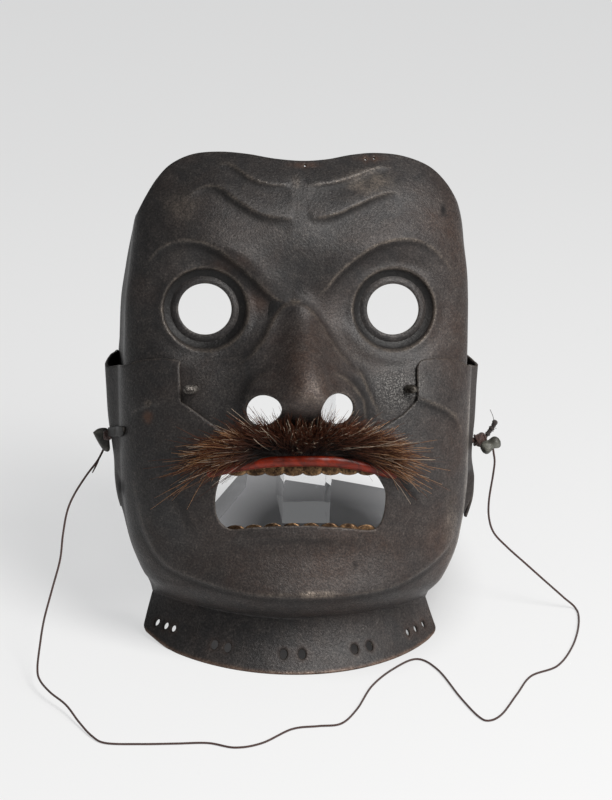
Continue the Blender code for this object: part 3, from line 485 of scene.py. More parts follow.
eyeForm = {
    "middles": ((-45.1, 175), (45.1, 175)),
    "hole": (12.8, 12.3),
    "ring": (20.2, 19.6),
    "ringRise": 1.7,
    "ringFall": (3.2, 1.2),  # how widely it falls away outside and inside
    "dish": (2.2, 2, 2.6, 3),  # inside it: how deep, over how far, then how flat and how soft
    # soft rings: how much, how far inside the raised ring and how wide
    "lip": (0.4, 5.4, 1.4),
    "innerFace": (1.4, 0, 2.6),
    "worn": (0.6, 0, 0.6),
    # the last darkens the groove inside the raised ring as painted shade
    "paintedShade": (0.75, 2.2, 1.5),
    "socket": (5, 33, 30),  # depth, half width and half height
    "socketFlat": 0.62,  # part of it that is flat
    # how much shallower it grows, where that begins and over how far
    "towardsTemple": (0.8, 44, 26),
    "towardsNose": (0.55, 8, 20),
}
# How far each turned-back wing of the lower plate swells outwards behind its crease
wingForm = {
    "up": (60, 75, 82, 91, 101, 109, 120, 137, 146, 155),
    "left": (0.0, 0.8, 1.9, 2.3, 2.2, 3.0, 4.4, 5.2, 5.6, 5.7),
    "right": (4.0, 6.8, 7.4, 6.6, 4.8, 4.9, 5.6, 5.8, 6.0, 6.0),
    # how far behind the crease the swell begins, and over how far, high up and low down, and where low begins
    "high": (0, 17),
    "low": (10, 7, 98, 7),
    # behind that it curls in again: how far, twice as far above here, and from how far behind the crease
    "curl": (0.6, 125, 16, 17, 27),
    # the right crease is rubbed: how much, how far inside it and how widely, up to here
    "rubbed": (0.75, 0.8, 1.4, 145, 20),
}
# Creased lines: the width of the soft side, how far, how fast and how widely the steep side drops, which side
# that is (-1 below or left, 1 above or right), how worn and bright its crest is, partly rubbed wear and partly a
# painted highlight, brighter on the lit right, and its points as across, up and height
lineForms = {
    "browLeft": (10, 1.1, 2.1, 9, -1, 0.6, (
        (-5.5, 177.6, 0), (-9, 178.6, 0.9), (-13.5, 181, 1.8), (-21.6, 188.6, 3), (-31.6, 197.6, 3.3),
        (-41.6, 204.4, 2.9), (-51.2, 207.3, 2.2), (-60.9, 206.4, 1.4), (-68.6, 201.4, 0.9), (-74.5, 192.5, 0))),
    "browRight": (10, 0.9, 2.6, 9, -1, 0.8, (
        (7.5, 181, 0), (11.6, 184.6, 0.8), (18, 192.8, 2.3), (27.9, 201, 3.2), (38.1, 206.5, 3.2),
        (49.5, 208.4, 2.5), (60.1, 206.4, 1.6), (69, 199.6, 0.9), (75, 192, 0))),
    "wrinkleLowLeft": (7, 1.5, 1.6, 6.5, -1, 0.5, (
        (-55, 227, 0), (-46.7, 232.5, 1.1), (-38.8, 232.8, 1.7), (-31.1, 227.2, 1.9), (-21.5, 221.1, 1.7),
        (-13.6, 218.8, 1.3), (-7, 218.2, 0.8), (-3.5, 217.6, 0))),
    "wrinkleLowRight": (7, 1.5, 1.6, 6.5, -1, 0.5, (
        (3.2, 217.8, 0), (7, 218.4, 0.8), (16.5, 220.3, 1.6), (26.7, 224.6, 1.9), (37.2, 228.9, 1.8),
        (44.8, 230.6, 1), (50.7, 228.4, 0))),
    "wrinkleHighLeft": (6, 1.3, 1.5, 6, -1, 0.5, (
        (-39, 243.4, 0), (-32.5, 243.5, 1.1), (-23.6, 237.3, 1.6), (-16.2, 234.5, 1.4), (-8, 233.9, 0.9),
        (-3.8, 233.6, 0))),
    "wrinkleHighRight": (6, 1.3, 1.5, 6, -1, 0.5, (
        (2.6, 233.5, 0), (6.5, 233.9, 0.8), (15, 235, 1.4), (24.2, 237.4, 1.6), (37.4, 242, 1.2),
        (46.5, 242.5, 0))),
    "browMiddle": (4.5, 0, 4.5, 3, 1, 0.1, (
        (-3.2, 241.5, 0), (-2.6, 236.5, 0.5), (-2, 231, 0.2), (-1.6, 224, 0.4), (-1, 216, 0.2),
        (-0.4, 206, 0))),
    "noseArch": (6, 0.7, 0.9, 5, 1, 0.4, (
        (-32, 148.5, 0), (-27, 151.5, 0.8), (-23, 155.1, 1.4), (-17.6, 162.2, 1.8), (-13.2, 170.3, 1.5),
        (-8.8, 176.3, 1.5), (-4, 177.7, 1.6), (1.4, 176.6, 1.5), (6.2, 172.5, 1.2), (10.2, 166.3, 1.1),
        (14, 159.3, 1), (22, 149.2, 0.8), (29.5, 142, 0))),
    "noseWingLeft": (4, 1.4, 1.5, 5, 1, 0.15, (
        (-30, 126, 0), (-28.4, 132.6, 0.9), (-25.5, 138.8, 1.3), (-21, 144, 1.2), (-15.5, 145.6, 0.6),
        (-11.5, 143, 0))),
    "noseWingRight": (3.6, 1.4, 1.3, 5, 1, 1, (
        (13, 146, 0), (17.5, 144.3, 0.7), (23.3, 139.4, 1.3), (27.9, 133, 1.5), (29.3, 127.6, 1.3),
        (30.2, 120.5, 0))),
    "noseFoldRight": (4, 1, 1.4, 4, 1, 0.9, (
        (24.5, 149, 0), (27.7, 145, 0.7), (31.1, 137.4, 1.2), (34.6, 130, 1.2), (38.6, 121, 0))),
    "jowl": (7.5, 3, 3.6, 12, -1, 0.22, (
        (-79.5, 101, 0), (-77.4, 85.8, 1), (-72.6, 67.5, 1.7), (-63.6, 53.8, 1.9), (-49, 47, 1.7),
        (-29.6, 41.7, 1.5), (-9.1, 39.2, 1.5), (9, 39.2, 1.5), (21.6, 39.6, 1.5), (45.6, 43.4, 1.6),
        (65.4, 53.5, 1.8), (77.4, 66.5, 1.5), (82.4, 79.7, 0))),
    "cheekRight": (6, 1.1, 1.9, 6, -1, 0.5, (
        (51, 133.4, 0), (57, 132.8, 1.2), (67.1, 128.8, 1.8), (75.3, 123.4, 1.5), (80.5, 113, 0))),
    "cheekLeft": (6, 0.8, 1.8, 5, -1, 0.2, (
        (-82, 122, 0), (-77, 127.3, 0.9), (-71.5, 129.8, 0.7), (-64, 131, 0))),
    "mouthFoldRight": (9, 1.6, 3.4, 8, -1, 0.08, (
        (44.5, 104, 0), (48.5, 97.9, 1.6), (51.6, 92.5, 1.8), (55.2, 87.5, 1.4), (60, 81, 0))),
    "mouthFoldLeft": (6, 0.8, 2.4, 6, 1, 0.08, (
        (-64.5, 95.6, 0), (-61.5, 85.8, 0.9), (-58.2, 79.1, 1.1), (-54.8, 72, 0.9), (-48, 64, 0))),
    "mouthCreaseLeft": (4.5, 0.7, 2.4, 4.5, 1, 0.08, (
        (-55.5, 91, 0), (-52.5, 80.3, 0.7), (-49.2, 72, 0.8), (-42.5, 64.3, 0))),
    "mouthRoll": (5, 0.8, 3, 5, -1, 0.1, (
        (-34, 66, 0), (-22, 67.2, 0.6), (-10, 67.6, 1), (2, 67.6, 1.1), (16, 67, 0.9), (30, 65.4, 0))),
}
# Spots rubbed bright, gone rusty, speckled or dirty: where, how far and how strongly; some bright ones are painted
# light
spotMarks = {
    "wear": (
        # the first two, on the chin, are rubbed wear and a painted highlight; the third and fourth, on the forehead,
        # are a painted sheen
        (6.5, 40.4, 9.5, 1.7, 1), (-12, 40.2, 9, 1.2, 0.5), (33, 235.5, 11, 5.5, 0.55),
        (-56, 224, 7, 7, 0.30), (-1.8, 235.3, 2, 2.6, 0.35), (-3, 179, 2.6, 1.1, 0.7),
        (-72.2, 130.1, 1.5, 1.5, 0.7), (1, 137.5, 7, 6, 0.16), (-26, 134, 2, 4, 0.3),
        (74.5, 70, 4, 15, 0.32)),
    "rust": (
        (-72.2, 123.9, 2.2, 3, 0.5), (2.5, 243.4, 7, 1.6, 0.25), (35, 246.8, 8, 1.4, 0.18),
        (-34, 196, 9, 5, 0.16), (-20, 180, 5, 6, 0.14), (70, 60, 9, 14, 0.15)),
    "fleck": ((46, 138, 12.5, 10.5, 0.75), (-48, 139, 7, 8, 0.15), (27, 156, 9, 7, 0.25)),
    "grimeAndShade": (
        (-83.4, 88, 1, 4, 1), (83.2, 78, 1, 9, 1), (70.1, 222.3, 1.6, 3, 1),
        (71, 219.6, 3, 0.8, 0.7), (25.7, 54, 1.2, 2, 0.6), (-72.2, 130.1, 0.7, 0.7, 1)),
}


def sectionAt(up, name):
    return smooth(up, faceForm["up"], faceForm[name])


def lineField(across, up, points):
    # distance from a smooth line, which side of it (1 above, -1 below), and its height there
    path = curveThrough(points, 8 * len(points))
    start, end = path[:-1], path[1:]
    run = end[:, :2] - start[:, :2]
    flat = np.stack([across.ravel(), up.ravel()], axis=1)
    near = np.flatnonzero(((flat > path[:, :2].min(0) - 24.0) & (flat < path[:, :2].max(0) + 24.0)).all(1))
    distance, side, height = np.full(len(flat), 99.0), np.ones(len(flat)), np.zeros(len(flat))
    offset = flat[near][:, None, :] - start[:, :2]
    t = np.clip((offset * run).sum(-1) / (run**2).sum(-1), 0, 1)
    gap = offset - t[..., None] * run
    away = np.hypot(gap[..., 0], gap[..., 1])
    pick = np.arange(len(near)), away.argmin(-1)
    turning = np.sign(run[:, 0]) * (run[:, 0] * gap[..., 1] - run[:, 1] * gap[..., 0])
    distance[near] = away[pick]
    side[near] = np.where(turning[pick] < 0, -1, 1)
    height[near] = (start[:, 2] + t * (end[:, 2] - start[:, 2]))[pick]
    return (values.reshape(across.shape) for values in (distance, side, height))


def noseRise(across, up):
    stand, bridge = (smooth(up, noseForm["up"], noseForm[key]) for key in ("stand", "bridge"))
    power, more, tip, tall = noseForm["squareness"]
    ball = stand * np.exp(-((np.abs(across) / bridge) ** (power + more * bell(up - tip, tall))))
    stand, middle, wide, height, tall = noseForm["wing"]
    away = np.hypot((np.abs(across) - middle) / wide, (up - height) / tall)
    less, wide = noseForm["wingInside"]
    wing = stand * np.exp(-(away ** noseForm["wingSquareness"])) * (1 - less * bell(across, wide))
    stand, wide, start, rising, end, falling = noseForm["root"]
    root = stand * np.exp(-((across / wide) ** 4)) * ease((up - start) / rising) * ease((end - up) / falling)
    return ball + wing + root


def eyeRing(r, key):
    much, inside, width = eyeForm[key]
    return much * bell(r + inside, width)


def faceRelief(across, up, crisp=True):
    # how far the surface stands out, with its worn crests, partly a painted highlight, and its hollows darkened by
    # painted shade
    rise = noseRise(across, up)
    crest, hollow = np.zeros_like(rise), np.zeros_like(rise)
    depth, wide, tall = eyeForm["socket"]
    flat, (outerFall, innerFall) = eyeForm["socketFlat"], eyeForm["ringFall"]
    dish, slope, level, soft = eyeForm["dish"]
    for middle in eyeForm["middles"]:
        over, high = across - middle[0], up - middle[1]
        socket = depth * (1 - ease((np.hypot(over / wide, (high - 1.0) / tall) - flat) / (1 - flat)))
        for outward, key in ((np.abs(across), "towardsTemple"), (-over * np.sign(middle[0]), "towardsNose")):
            less, begin, spread = eyeForm[key]
            socket = socket * (1 - less * ease((outward - begin) / spread))
        rise = rise - socket
        r = np.hypot(over, high * eyeForm["ring"][0] / eyeForm["ring"][1]) - eyeForm["ring"][0]
        if crisp:
            rise = rise + eyeForm["ringRise"] * np.where(r > 0, bell(r, outerFall), np.exp(-np.abs(r) / innerFall))
            rise = rise - dish * ease(-r / slope) * bell(np.maximum(-r - level, 0), soft) + eyeRing(r, "lip")
            crest = np.maximum(crest, eyeRing(r, "worn"))
            # painted shade in the groove inside the ring
            hollow = np.maximum(hollow, eyeRing(r, "paintedShade"))
        else:
            rise = rise + eyeRing(r, "innerFace")
    for soft, drop, fast, far, facing, worn, points in lineForms.values():
        distance, side, height = lineField(across, up, points)
        if crisp:
            weight = np.clip(height / 1.6, 0, 1)
            steep, drop = side == facing, drop * weight
            fall = (height + drop) * np.exp(-distance / fast) - drop * bell(distance, far)
            rise = rise + np.where(steep, fall, height * bell(distance, soft))
            # the bright crest is rubbed wear and a painted highlight
            crest = np.maximum(crest, worn * weight * bell(distance, 0.62))
            # painted shade on the steep side below each crease
            hollow = np.maximum(hollow, 0.55 * weight * bell(distance - 2.2, 1.7) * steep)
        else:
            rise = rise + 0.8 * height * bell(distance, np.where(side < 0, 3.5, 8.0))
    return rise, crest, hollow


# Where the iron is brown, and where it is paler as a painted highlight: how strongly, then its middles and sizes across
# and up
tintForms = {
    "chin": (0.85, 8, 62, 56, 24),
    "nose": (0.75, 1, 24, 150, 30),
    "paintedNoseHighlight": (0.35, 0, 22, 146, 26),
}


def addSpots(marks, across, up):
    for key, spots in spotMarks.items():
        marks.setdefault(key, np.zeros_like(across))
        for x, y, width, height, strength in spots:
            away = np.hypot((across - x) / width, (up - y) / height)
            marks[key] = np.maximum(marks[key], strength * np.exp(-(away**3)))
    # the pale one is a painted highlight on the nose
    chin, nose, pale = (strength * bell(across - x, wide) * bell(up - y, tall)
                        for strength, x, wide, y, tall in tintForms.values())
    # the right edge is brown too, the flange's foot pale, and the brow between the eyes dark; the brightness is painted
    # light, lighter towards the right, and the nose paler as a painted highlight
    edge = ease((across - 48) / 30.0) * (0.55 + 0.35 * bell(up - 215, 30.0))
    foot, brow = 0.15 * ease((30 - up) / 6.0), 0.10 * bell(across, 42.0) * ease((up - 184) / 14.0)
    marks["warmth"] = np.clip(np.max([chin, nose, edge], axis=0), 0, 1)
    marks["paintedLightTone"] = 1.0 + 0.24 * across / 85.0 + pale + foot - brow
    return marks


def facePoints(part, side, up, inward=0.0, winged=False, crisp=True):
    # part is -1..1 across the front, side is 0..1 back along the side
    part, side, up = np.broadcast_arrays(*(np.asarray(v, dtype=float) for v in (part, side, up)))
    half, front = sectionAt(up, "halfWidth") - inward, sectionAt(up, "front") - inward
    start, power = sectionAt(up, "sideStart"), sectionAt(up, "squareness")
    across = half * part + sectionAt(up, "middle")
    roundFront = (1 - np.minimum(np.abs(part), 1.0) ** power) ** (1 / power)
    fade = ease((1.0 - np.abs(part)) / 0.12)
    rise, crest, hollow = faceRelief(across, up, crisp)
    back = start - side * (start - sectionAt(up, "back"))
    if winged:
        run = start - back
        rubbed, inside, wide, top, over = wingForm["rubbed"]
        edge = rubbed * bell(half * (1 - np.abs(part)) - inside, wide) * (part > 0) * ease((top - up) / over)
        crest = np.maximum(crest, edge) / np.maximum(fade, 0.02)
        swell = np.where(part < 0, *(smooth(up, wingForm["up"], wingForm[key]) for key in ("left", "right")))
        (begin, reach), (lowBegin, lowReach, below, over) = wingForm["high"], wingForm["low"]
        low = ease((below - up) / over)
        out = (1 - low) * ease((run - begin) / reach) + low * ease((run - lowBegin) / lowReach)
        curl, above, over, begin, reach = wingForm["curl"]
        curled = (curl + curl * ease((up - above) / over)) * ease((run - begin) / reach)
        across = across + np.sign(part) * swell * (out - curled)
    forward = np.where(side > 0, back, start + (front - start) * roundFront + rise * fade)
    # along the sides going back it is darkened too
    return (np.stack([across, forward, up], axis=-1), np.minimum(crest * fade, 1.0),
            np.maximum(hollow * fade, 0.35 * ease(side / 0.1)))


def frontAt(across, up):
    return facePoints((across - sectionAt(up, "middle")) / sectionAt(up, "halfWidth"), 0.0, up)[0][..., 1]


def splitRun(run):
    # a running place, -1 at one back edge and 1 at the other, as a place across the front and along the side
    part = np.sin(np.clip(np.abs(run) / 0.8, 0, 1) * math.pi / 2) * np.sign(run)
    return part, np.clip((np.abs(run) - 0.8) / 0.2, 0, 1)


def runColumns(step, up):
    # running places in even steps over the metal
    run = np.linspace(-1, 1, 4001)
    length = runLength(facePoints(*splitRun(run), up, crisp=False)[0])
    return np.interp(np.arange(0, length[-1], step), length, run)


def outlineGap(x, y, outline):
    # millimetres inside a closed outline, negative outside it
    outline = np.asarray(outline, dtype=float)
    flat = np.stack([x.ravel(), y.ravel()], axis=1)
    best, inside = np.full(len(flat), 1e9), np.zeros(len(flat), dtype=bool)
    for a, b in zip(outline, np.roll(outline, -1, axis=0)):
        run, offset = b - a, flat - a
        t = np.clip((offset @ run) / max(run @ run, 1e-9), 0, 1)
        best = np.minimum(best, np.hypot(*(offset - t[:, None] * run).T))
        reach = a[0] + offset[:, 1] / (run[1] or 1e-9) * run[0]
        inside ^= ((a[1] > flat[:, 1]) != (b[1] > flat[:, 1])) & (flat[:, 0] < reach)
    return np.where(inside, best, -best).reshape(x.shape)


def ovalGap(x, y, middle, halfWidth, halfHeight):
    return (1 - np.hypot((x - middle[0]) / halfWidth, (y - middle[1]) / halfHeight)) * min(halfWidth, halfHeight)


def atIndex(grid, i, j):
    # a grid's value between its points
    i0, j0 = (np.clip(np.floor(at).astype(int), 0, size - 2) for at, size in zip((i, j), grid.shape))
    fi, fj = i - i0, j - j0
    if grid.ndim == 3:
        fi, fj = fi[:, None], fj[:, None]
    return ((grid[i0, j0] * (1 - fj) + grid[i0, j0 + 1] * fj) * (1 - fi)
            + (grid[i0 + 1, j0] * (1 - fj) + grid[i0 + 1, j0 + 1] * fj) * fi)


def trimSheet(gap):
    # corners and faces of the part of a grid where gap is not positive, its edge following gap = 0
    def cornersOf(grid):
        return np.stack([grid[:-1, :-1], grid[:-1, 1:], grid[1:, 1:], grid[1:, :-1]])

    slopeI, slopeJ = np.gradient(gap)
    steep = np.maximum(slopeI**2 + slopeJ**2, 1e-6)
    close = np.abs(gap) < 0.30 * np.sqrt(steep)
    i, j = (np.clip(np.where(close, at - gap * slope / steep, at), 0, size - 1)
            for at, slope, size in zip(np.indices(gap.shape).astype(float), (slopeI, slopeJ), gap.shape))
    gap = np.where(close, 0.0, gap)
    keep = gap <= 0
    number = np.full(gap.shape, -1)
    number[keep] = np.arange(keep.sum())
    cornerI, cornerJ = list(i[keep]), list(j[keep])
    kept, lows = cornersOf(keep), cornersOf(gap).min(0)
    faces = cornersOf(number)[:, kept.all(0) & (lows < 0)].T.tolist()
    crossings = {}
    for row, col in np.argwhere(kept.any(0) & ~kept.all(0) & (lows < 0)).tolist():
        corners = ((row, col), (row, col + 1), (row + 1, col + 1), (row + 1, col))
        face = []
        for a, b in zip(corners, corners[1:] + corners[:1]):
            if keep[a]:
                face.append(int(number[a]))
            if gap[a] * gap[b] < 0:
                key = (min(a, b), max(a, b))
                if key not in crossings:
                    t = gap[a] / (gap[a] - gap[b])
                    crossings[key] = len(cornerI)
                    cornerI.append(i[a] + (i[b] - i[a]) * t)
                    cornerJ.append(j[a] + (j[b] - j[a]) * t)
                face.append(crossings[key])
        if len(set(face)) >= 3:
            faces.append(face)
    return np.array(cornerI), np.array(cornerJ), faces


def normalsOf(points):
    normal = np.cross(np.gradient(points, axis=1), np.gradient(points, axis=0))
    return normal / np.maximum(np.linalg.norm(normal, axis=-1, keepdims=True), 1e-12)


def makePlate(name, cadNode, local, softer, gaps, marks):
    # a plate of even wall between a sharp outer face and a softer inner one, with a rounded edge
    wall, rimRound = faceForm["wall"] * 0.001, 0.22
    outer, soft = (place(*np.moveaxis(points, -1, 0)) for points in (local, softer))
    cornerI, cornerJ, faces = trimSheet(np.max(gaps, axis=0))
    used = sorted({index for face in faces for index in face})
    renumber = {old: new for new, old in enumerate(used)}
    faces = [[renumber[index] for index in face] for face in faces]
    cornerI, cornerJ = cornerI[used], cornerJ[used]
    front, back, facing = (atIndex(grid, cornerI, cornerJ)
                           for grid in (outer, soft - normalsOf(soft) * wall, normalsOf(outer)))
    count = len(front)
    directed = dict.fromkeys(edge for face in faces for edge in zip(face, face[1:] + face[:1]))
    rim = [(a, b) for a, b in directed if (b, a) not in directed]
    outward = np.zeros_like(front)
    starts, ends = np.array(rim).T
    push = np.cross(front[ends] - front[starts], facing[starts])
    length = np.linalg.norm(push, axis=1, keepdims=True)
    push = push / np.maximum(length, 1e-12) * (length > 1e-12)
    for corners in (starts, ends):
        np.add.at(outward, corners, push)
    onRim = np.unique(rim)
    middleNumber = {index: 2 * count + k for k, index in enumerate(onRim.tolist())}
    out = outward[onRim]
    out /= np.maximum(np.linalg.norm(out, axis=1, keepdims=True), 1e-9)
    verts = np.concatenate([front, back, (front[onRim] + back[onRim]) / 2 + out * rimRound * wall])
    verts[:, 2] = np.maximum(verts[:, 2], 0.0)
    allFaces = faces + [[index + count for index in reversed(face)] for face in faces]
    for a, b in rim:
        allFaces += [[b, a, middleNumber[a], middleNumber[b]], [middleNumber[b], middleNumber[a], a + count, b + count]]
    plate = newObject(name, verts, allFaces, iron)
    edge = np.isin(np.arange(count), onRim) * 1.0
    for key, grid in addSpots(marks, local[..., 0], local[..., 2]).items():
        values = atIndex(grid, cornerI, cornerJ)
        if key == "wear":
            parts = np.maximum(values, 0.15 * edge), np.zeros(count), np.full(len(onRim), 0.5)
        else:
            parts = values, values * 0.3, values[onRim]
        setAttribute(plate, key, np.concatenate(parts))
    print(f"  {name}: {sum(len(face) - 2 for face in allFaces)} triangles")
    standsFor(plate, cadNode)


upperPlate = {
    "step": 0.85,
    "rows": (104, 253),
    "topEdge": (
        (-91, 190), (-84.6, 200), (-80.4, 210), (-76.2, 220), (-71.6, 229), (-66.4, 237), (-59.6, 243.8),
        (-49.4, 248.4), (-37, 249.6), (-24, 248.6), (-11, 246.4), (2, 245.4), (14, 246.2), (26, 248.4), (38, 249.4),
        (51.6, 248.1), (64.4, 243.4), (72.6, 236), (78.4, 227), (83.2, 217), (88.5, 206), (94, 196)),
    "sideEdge": ((10, 136), (14, 136), (14, 146), (18, 153), (25, 159), (25.5, 170), (27, 181), (31, 190),
                 (37, 198), (45, 206), (53, 212), (56, 220), (50, 250), (10, 250)),
    "hem": ((-120, 139), (-66, 139), (-61, 124), (-47, 114), (-20, 107), (20, 107), (47, 114), (61, 124), (66, 139),
            (120, 139), (120, 80), (-120, 80)),
    "nostrils": (((-20, 128.2), 8, 8.3), ((14.9, 129.2), 8.9, 8.5)),
    "pegHoles": ((-50.8, 137.6), (51.2, 137.6)),
    "pegHole": 1.75,
    "pinholes": ((3.1, 243.4), (32.9, 246.6), (37.1, 247)),
    "pinhole": 0.85,
    "pinRust": (0.35, 1.8),  # how much and how widely
}


def makeUpperPlate(look):
    part, side = splitRun(runColumns(look["step"], 150.0))
    rows = np.arange(*look["rows"], look["step"])[:, None]
    inward = faceForm["wall"] + faceForm["lap"]
    local, crest, hollow = facePoints(part, side, rows, inward)
    softer = facePoints(part, side, rows, inward, crisp=False)[0]
    across, forward, up = np.moveaxis(local, -1, 0)
    top = [*curveThrough(look["topEdge"], 8 * len(look["topEdge"])), (96, 270), (-96, 270)]
    pins, pegs = ([np.hypot(across - x, up - y) for x, y in look[key]] for key in ("pinholes", "pegHoles"))
    gaps = [outlineGap(across, up, top), outlineGap(forward, up, look["sideEdge"]), outlineGap(across, up, look["hem"])]
    gaps += [ovalGap(across, up, middle, *eyeForm["hole"]) for middle in eyeForm["middles"]]
    gaps += [ovalGap(across, up, *nostril) for nostril in look["nostrils"]]
    gaps += [look["pegHole"] - away for away in pegs] + [look["pinhole"] - away for away in pins]
    rust, wide = look["pinRust"]
    marks = {"wear": crest, "grimeAndShade": hollow, "rust": rust * bell(np.min(pins, axis=0), wide)}
    makePlate("upperPlate", "upper_face", local, softer, gaps, marks)


makeUpperPlate(upperPlate)
print("stage: upper plate")

lowerPlate = {
    "step": 0.94,
    "flangeRadius": 82.4,
    "flangeHalfAngle": math.radians(61.6),
    "flangeMiddle": 0.6,
    "cornerRise": (3.2, 1),
    "cornerStart": (0.7, 0.88),
    "cornerRound": 3.4,
    "neckFront": 73,
    "neckRadius": 76.6,
    "neckUp": 26.4,
    "neckRise": 7.4,
    "neckTilt": -2,
    "chinRound": 13,
    "chinSquareness": 1.6,
    "cheekTop": ((57.5, 150.6), (60, 151.3), (66, 151.6), (74, 150.8), (80, 149), (84, 147.2), (98, 145.5),
                 (98, 170)),
    "noseStep": ((-58, 148), (-57.6, 131.5), (-54.5, 129.5), (-49, 125.5), (-38.5, 118), (-25, 113), (0, 111.5),
                 (25, 113), (38.5, 119), (49, 125.5), (54, 130), (55.8, 132), (56, 148)),
    "sideEdges": (
        ((0, 112), (14, 112), (17, 100), (21, 88), (26, 80), (31, 76.5), (35, 81), (38.5, 89), (41, 94),
         (43.5, 89), (44.5, 76), (45, 62), (46, 50), (30, 50), (0, 60)),
        ((0, 112), (14, 112), (17, 100), (21, 88), (29, 80), (37, 70.8), (39.5, 80), (41, 89), (42.5, 95),
         (44, 89), (45, 76), (45.5, 62), (46, 50), (30, 50), (0, 60))),
    "wingTop": ((0, 152.8), (16, 152.8), (29, 151.2), (38, 147.8), (48, 145.8), (58, 147.2), (72, 170), (0, 170)),
    "mouth": ((-37.6, 99.6), (-40.2, 93), (-41.4, 86), (-40.8, 78.5), (-38, 73.5), (-33, 70.9), (-22, 72),
              (0, 72.9), (20, 71.6), (33, 70.2), (37.7, 72.6), (40, 79), (40.5, 88), (38.6, 92.8), (35, 97.6),
              (28, 100.8), (14, 102.4), (0, 102.8), (-14, 102.6), (-28, 101.8), (-37.6, 99.6)),
    # across, part of the flange's height, radius
    "laceHoles": ((-65.6, 0.41, 1.6), (-62, 0.41, 1.6), (-58.8, 0.41, 1.6), (-39.8, 0.345, 2.1),
                  (-33.6, 0.345, 2.1), (-6.8, 0.345, 2.1), (2.3, 0.345, 2.1), (28.8, 0.345, 2.1),
                  (36.6, 0.345, 2.1), (57.6, 0.365, 1.6), (62, 0.365, 1.6), (66.6, 0.365, 1.6)),
    "wingHoles": ((38, 112.5), (38, 109)),
    "wingHole": 1.7,
    "laceBelow": 60,
    "laceRust": (0.35, 2.0),
    "laceGrime": (0.8, 0.5),
    "footHeight": 2.2,
    "footMarks": (0.55, 0.45),  # rust and wear
    "cheekTopEnd": (58, 6, 14),  # where the cheek's top edge gives way to the wing's, over how far, by how much
    "flangeHollow": 1.2,
    "neckFade": 34,
}


def flangeAndNeck(run, look, corners=True):
    # the flange's bottom edge and the line where it meets the chin
    angle, middle = look["flangeHalfAngle"] * run, look["flangeMiddle"]
    behind = look["flangeRadius"] * (1 - np.cos(angle))
    start, lift = (np.where(run < 0, *look[key]) for key in ("cornerStart", "cornerRise"))
    rise = lift * ease((np.abs(run) - start) / (1 - start)) * corners
    bottom = (look["flangeRadius"] * np.sin(angle) + middle,
              maskFrame["flangeFront"] - behind * leanCos + rise * leanSin, behind * leanSin + rise * leanCos)
    part = np.sin(angle) / math.sin(look["flangeHalfAngle"])
    neck = (look["neckRadius"] * np.sin(angle) + middle,
            look["neckFront"] - look["neckRadius"] * (1 - np.cos(angle)) * leanCos,
            look["neckUp"] + look["neckRise"] * np.abs(part) ** 1.6 + look["neckTilt"] * part * np.abs(part))
    return np.stack(bottom, axis=-1), np.stack(neck, axis=-1)


def lowerPoints(runs, rows, look, crisp):
    # rows below the neck run over the flange, rows above it over the chin and cheeks
    bottom, neck = flangeAndNeck(runs, look)
    t = rows[rows < look["neckUp"]][:, None, None] / look["neckUp"]
    flange = bottom + (neck - bottom) * t
    flange[..., 1] -= look["flangeHollow"] * np.sin(math.pi * t[..., 0])
    high = rows[rows >= look["neckUp"]][:, None]
    up = high + (neck[:, 2] - look["neckUp"]) * (1 - ease((high - look["neckUp"]) / look["neckFade"]))
    points, crest, hollow = facePoints(*splitRun(runs), up, winged=True, crisp=crisp)
    t = np.clip((up - neck[:, 2]) / look["chinRound"], 0, 1)
    swell = (1 - (1 - t) ** look["chinSquareness"]) ** (1 / look["chinSquareness"])
    points[..., :2] = neck[:, :2] + (points[..., :2] - neck[:, :2]) * swell[..., None]
    zero = np.zeros(flange.shape[:2])
    return (np.concatenate([flange, points]), np.concatenate([zero, crest * ease(t)]),
            np.concatenate([zero, hollow * ease(t)]))


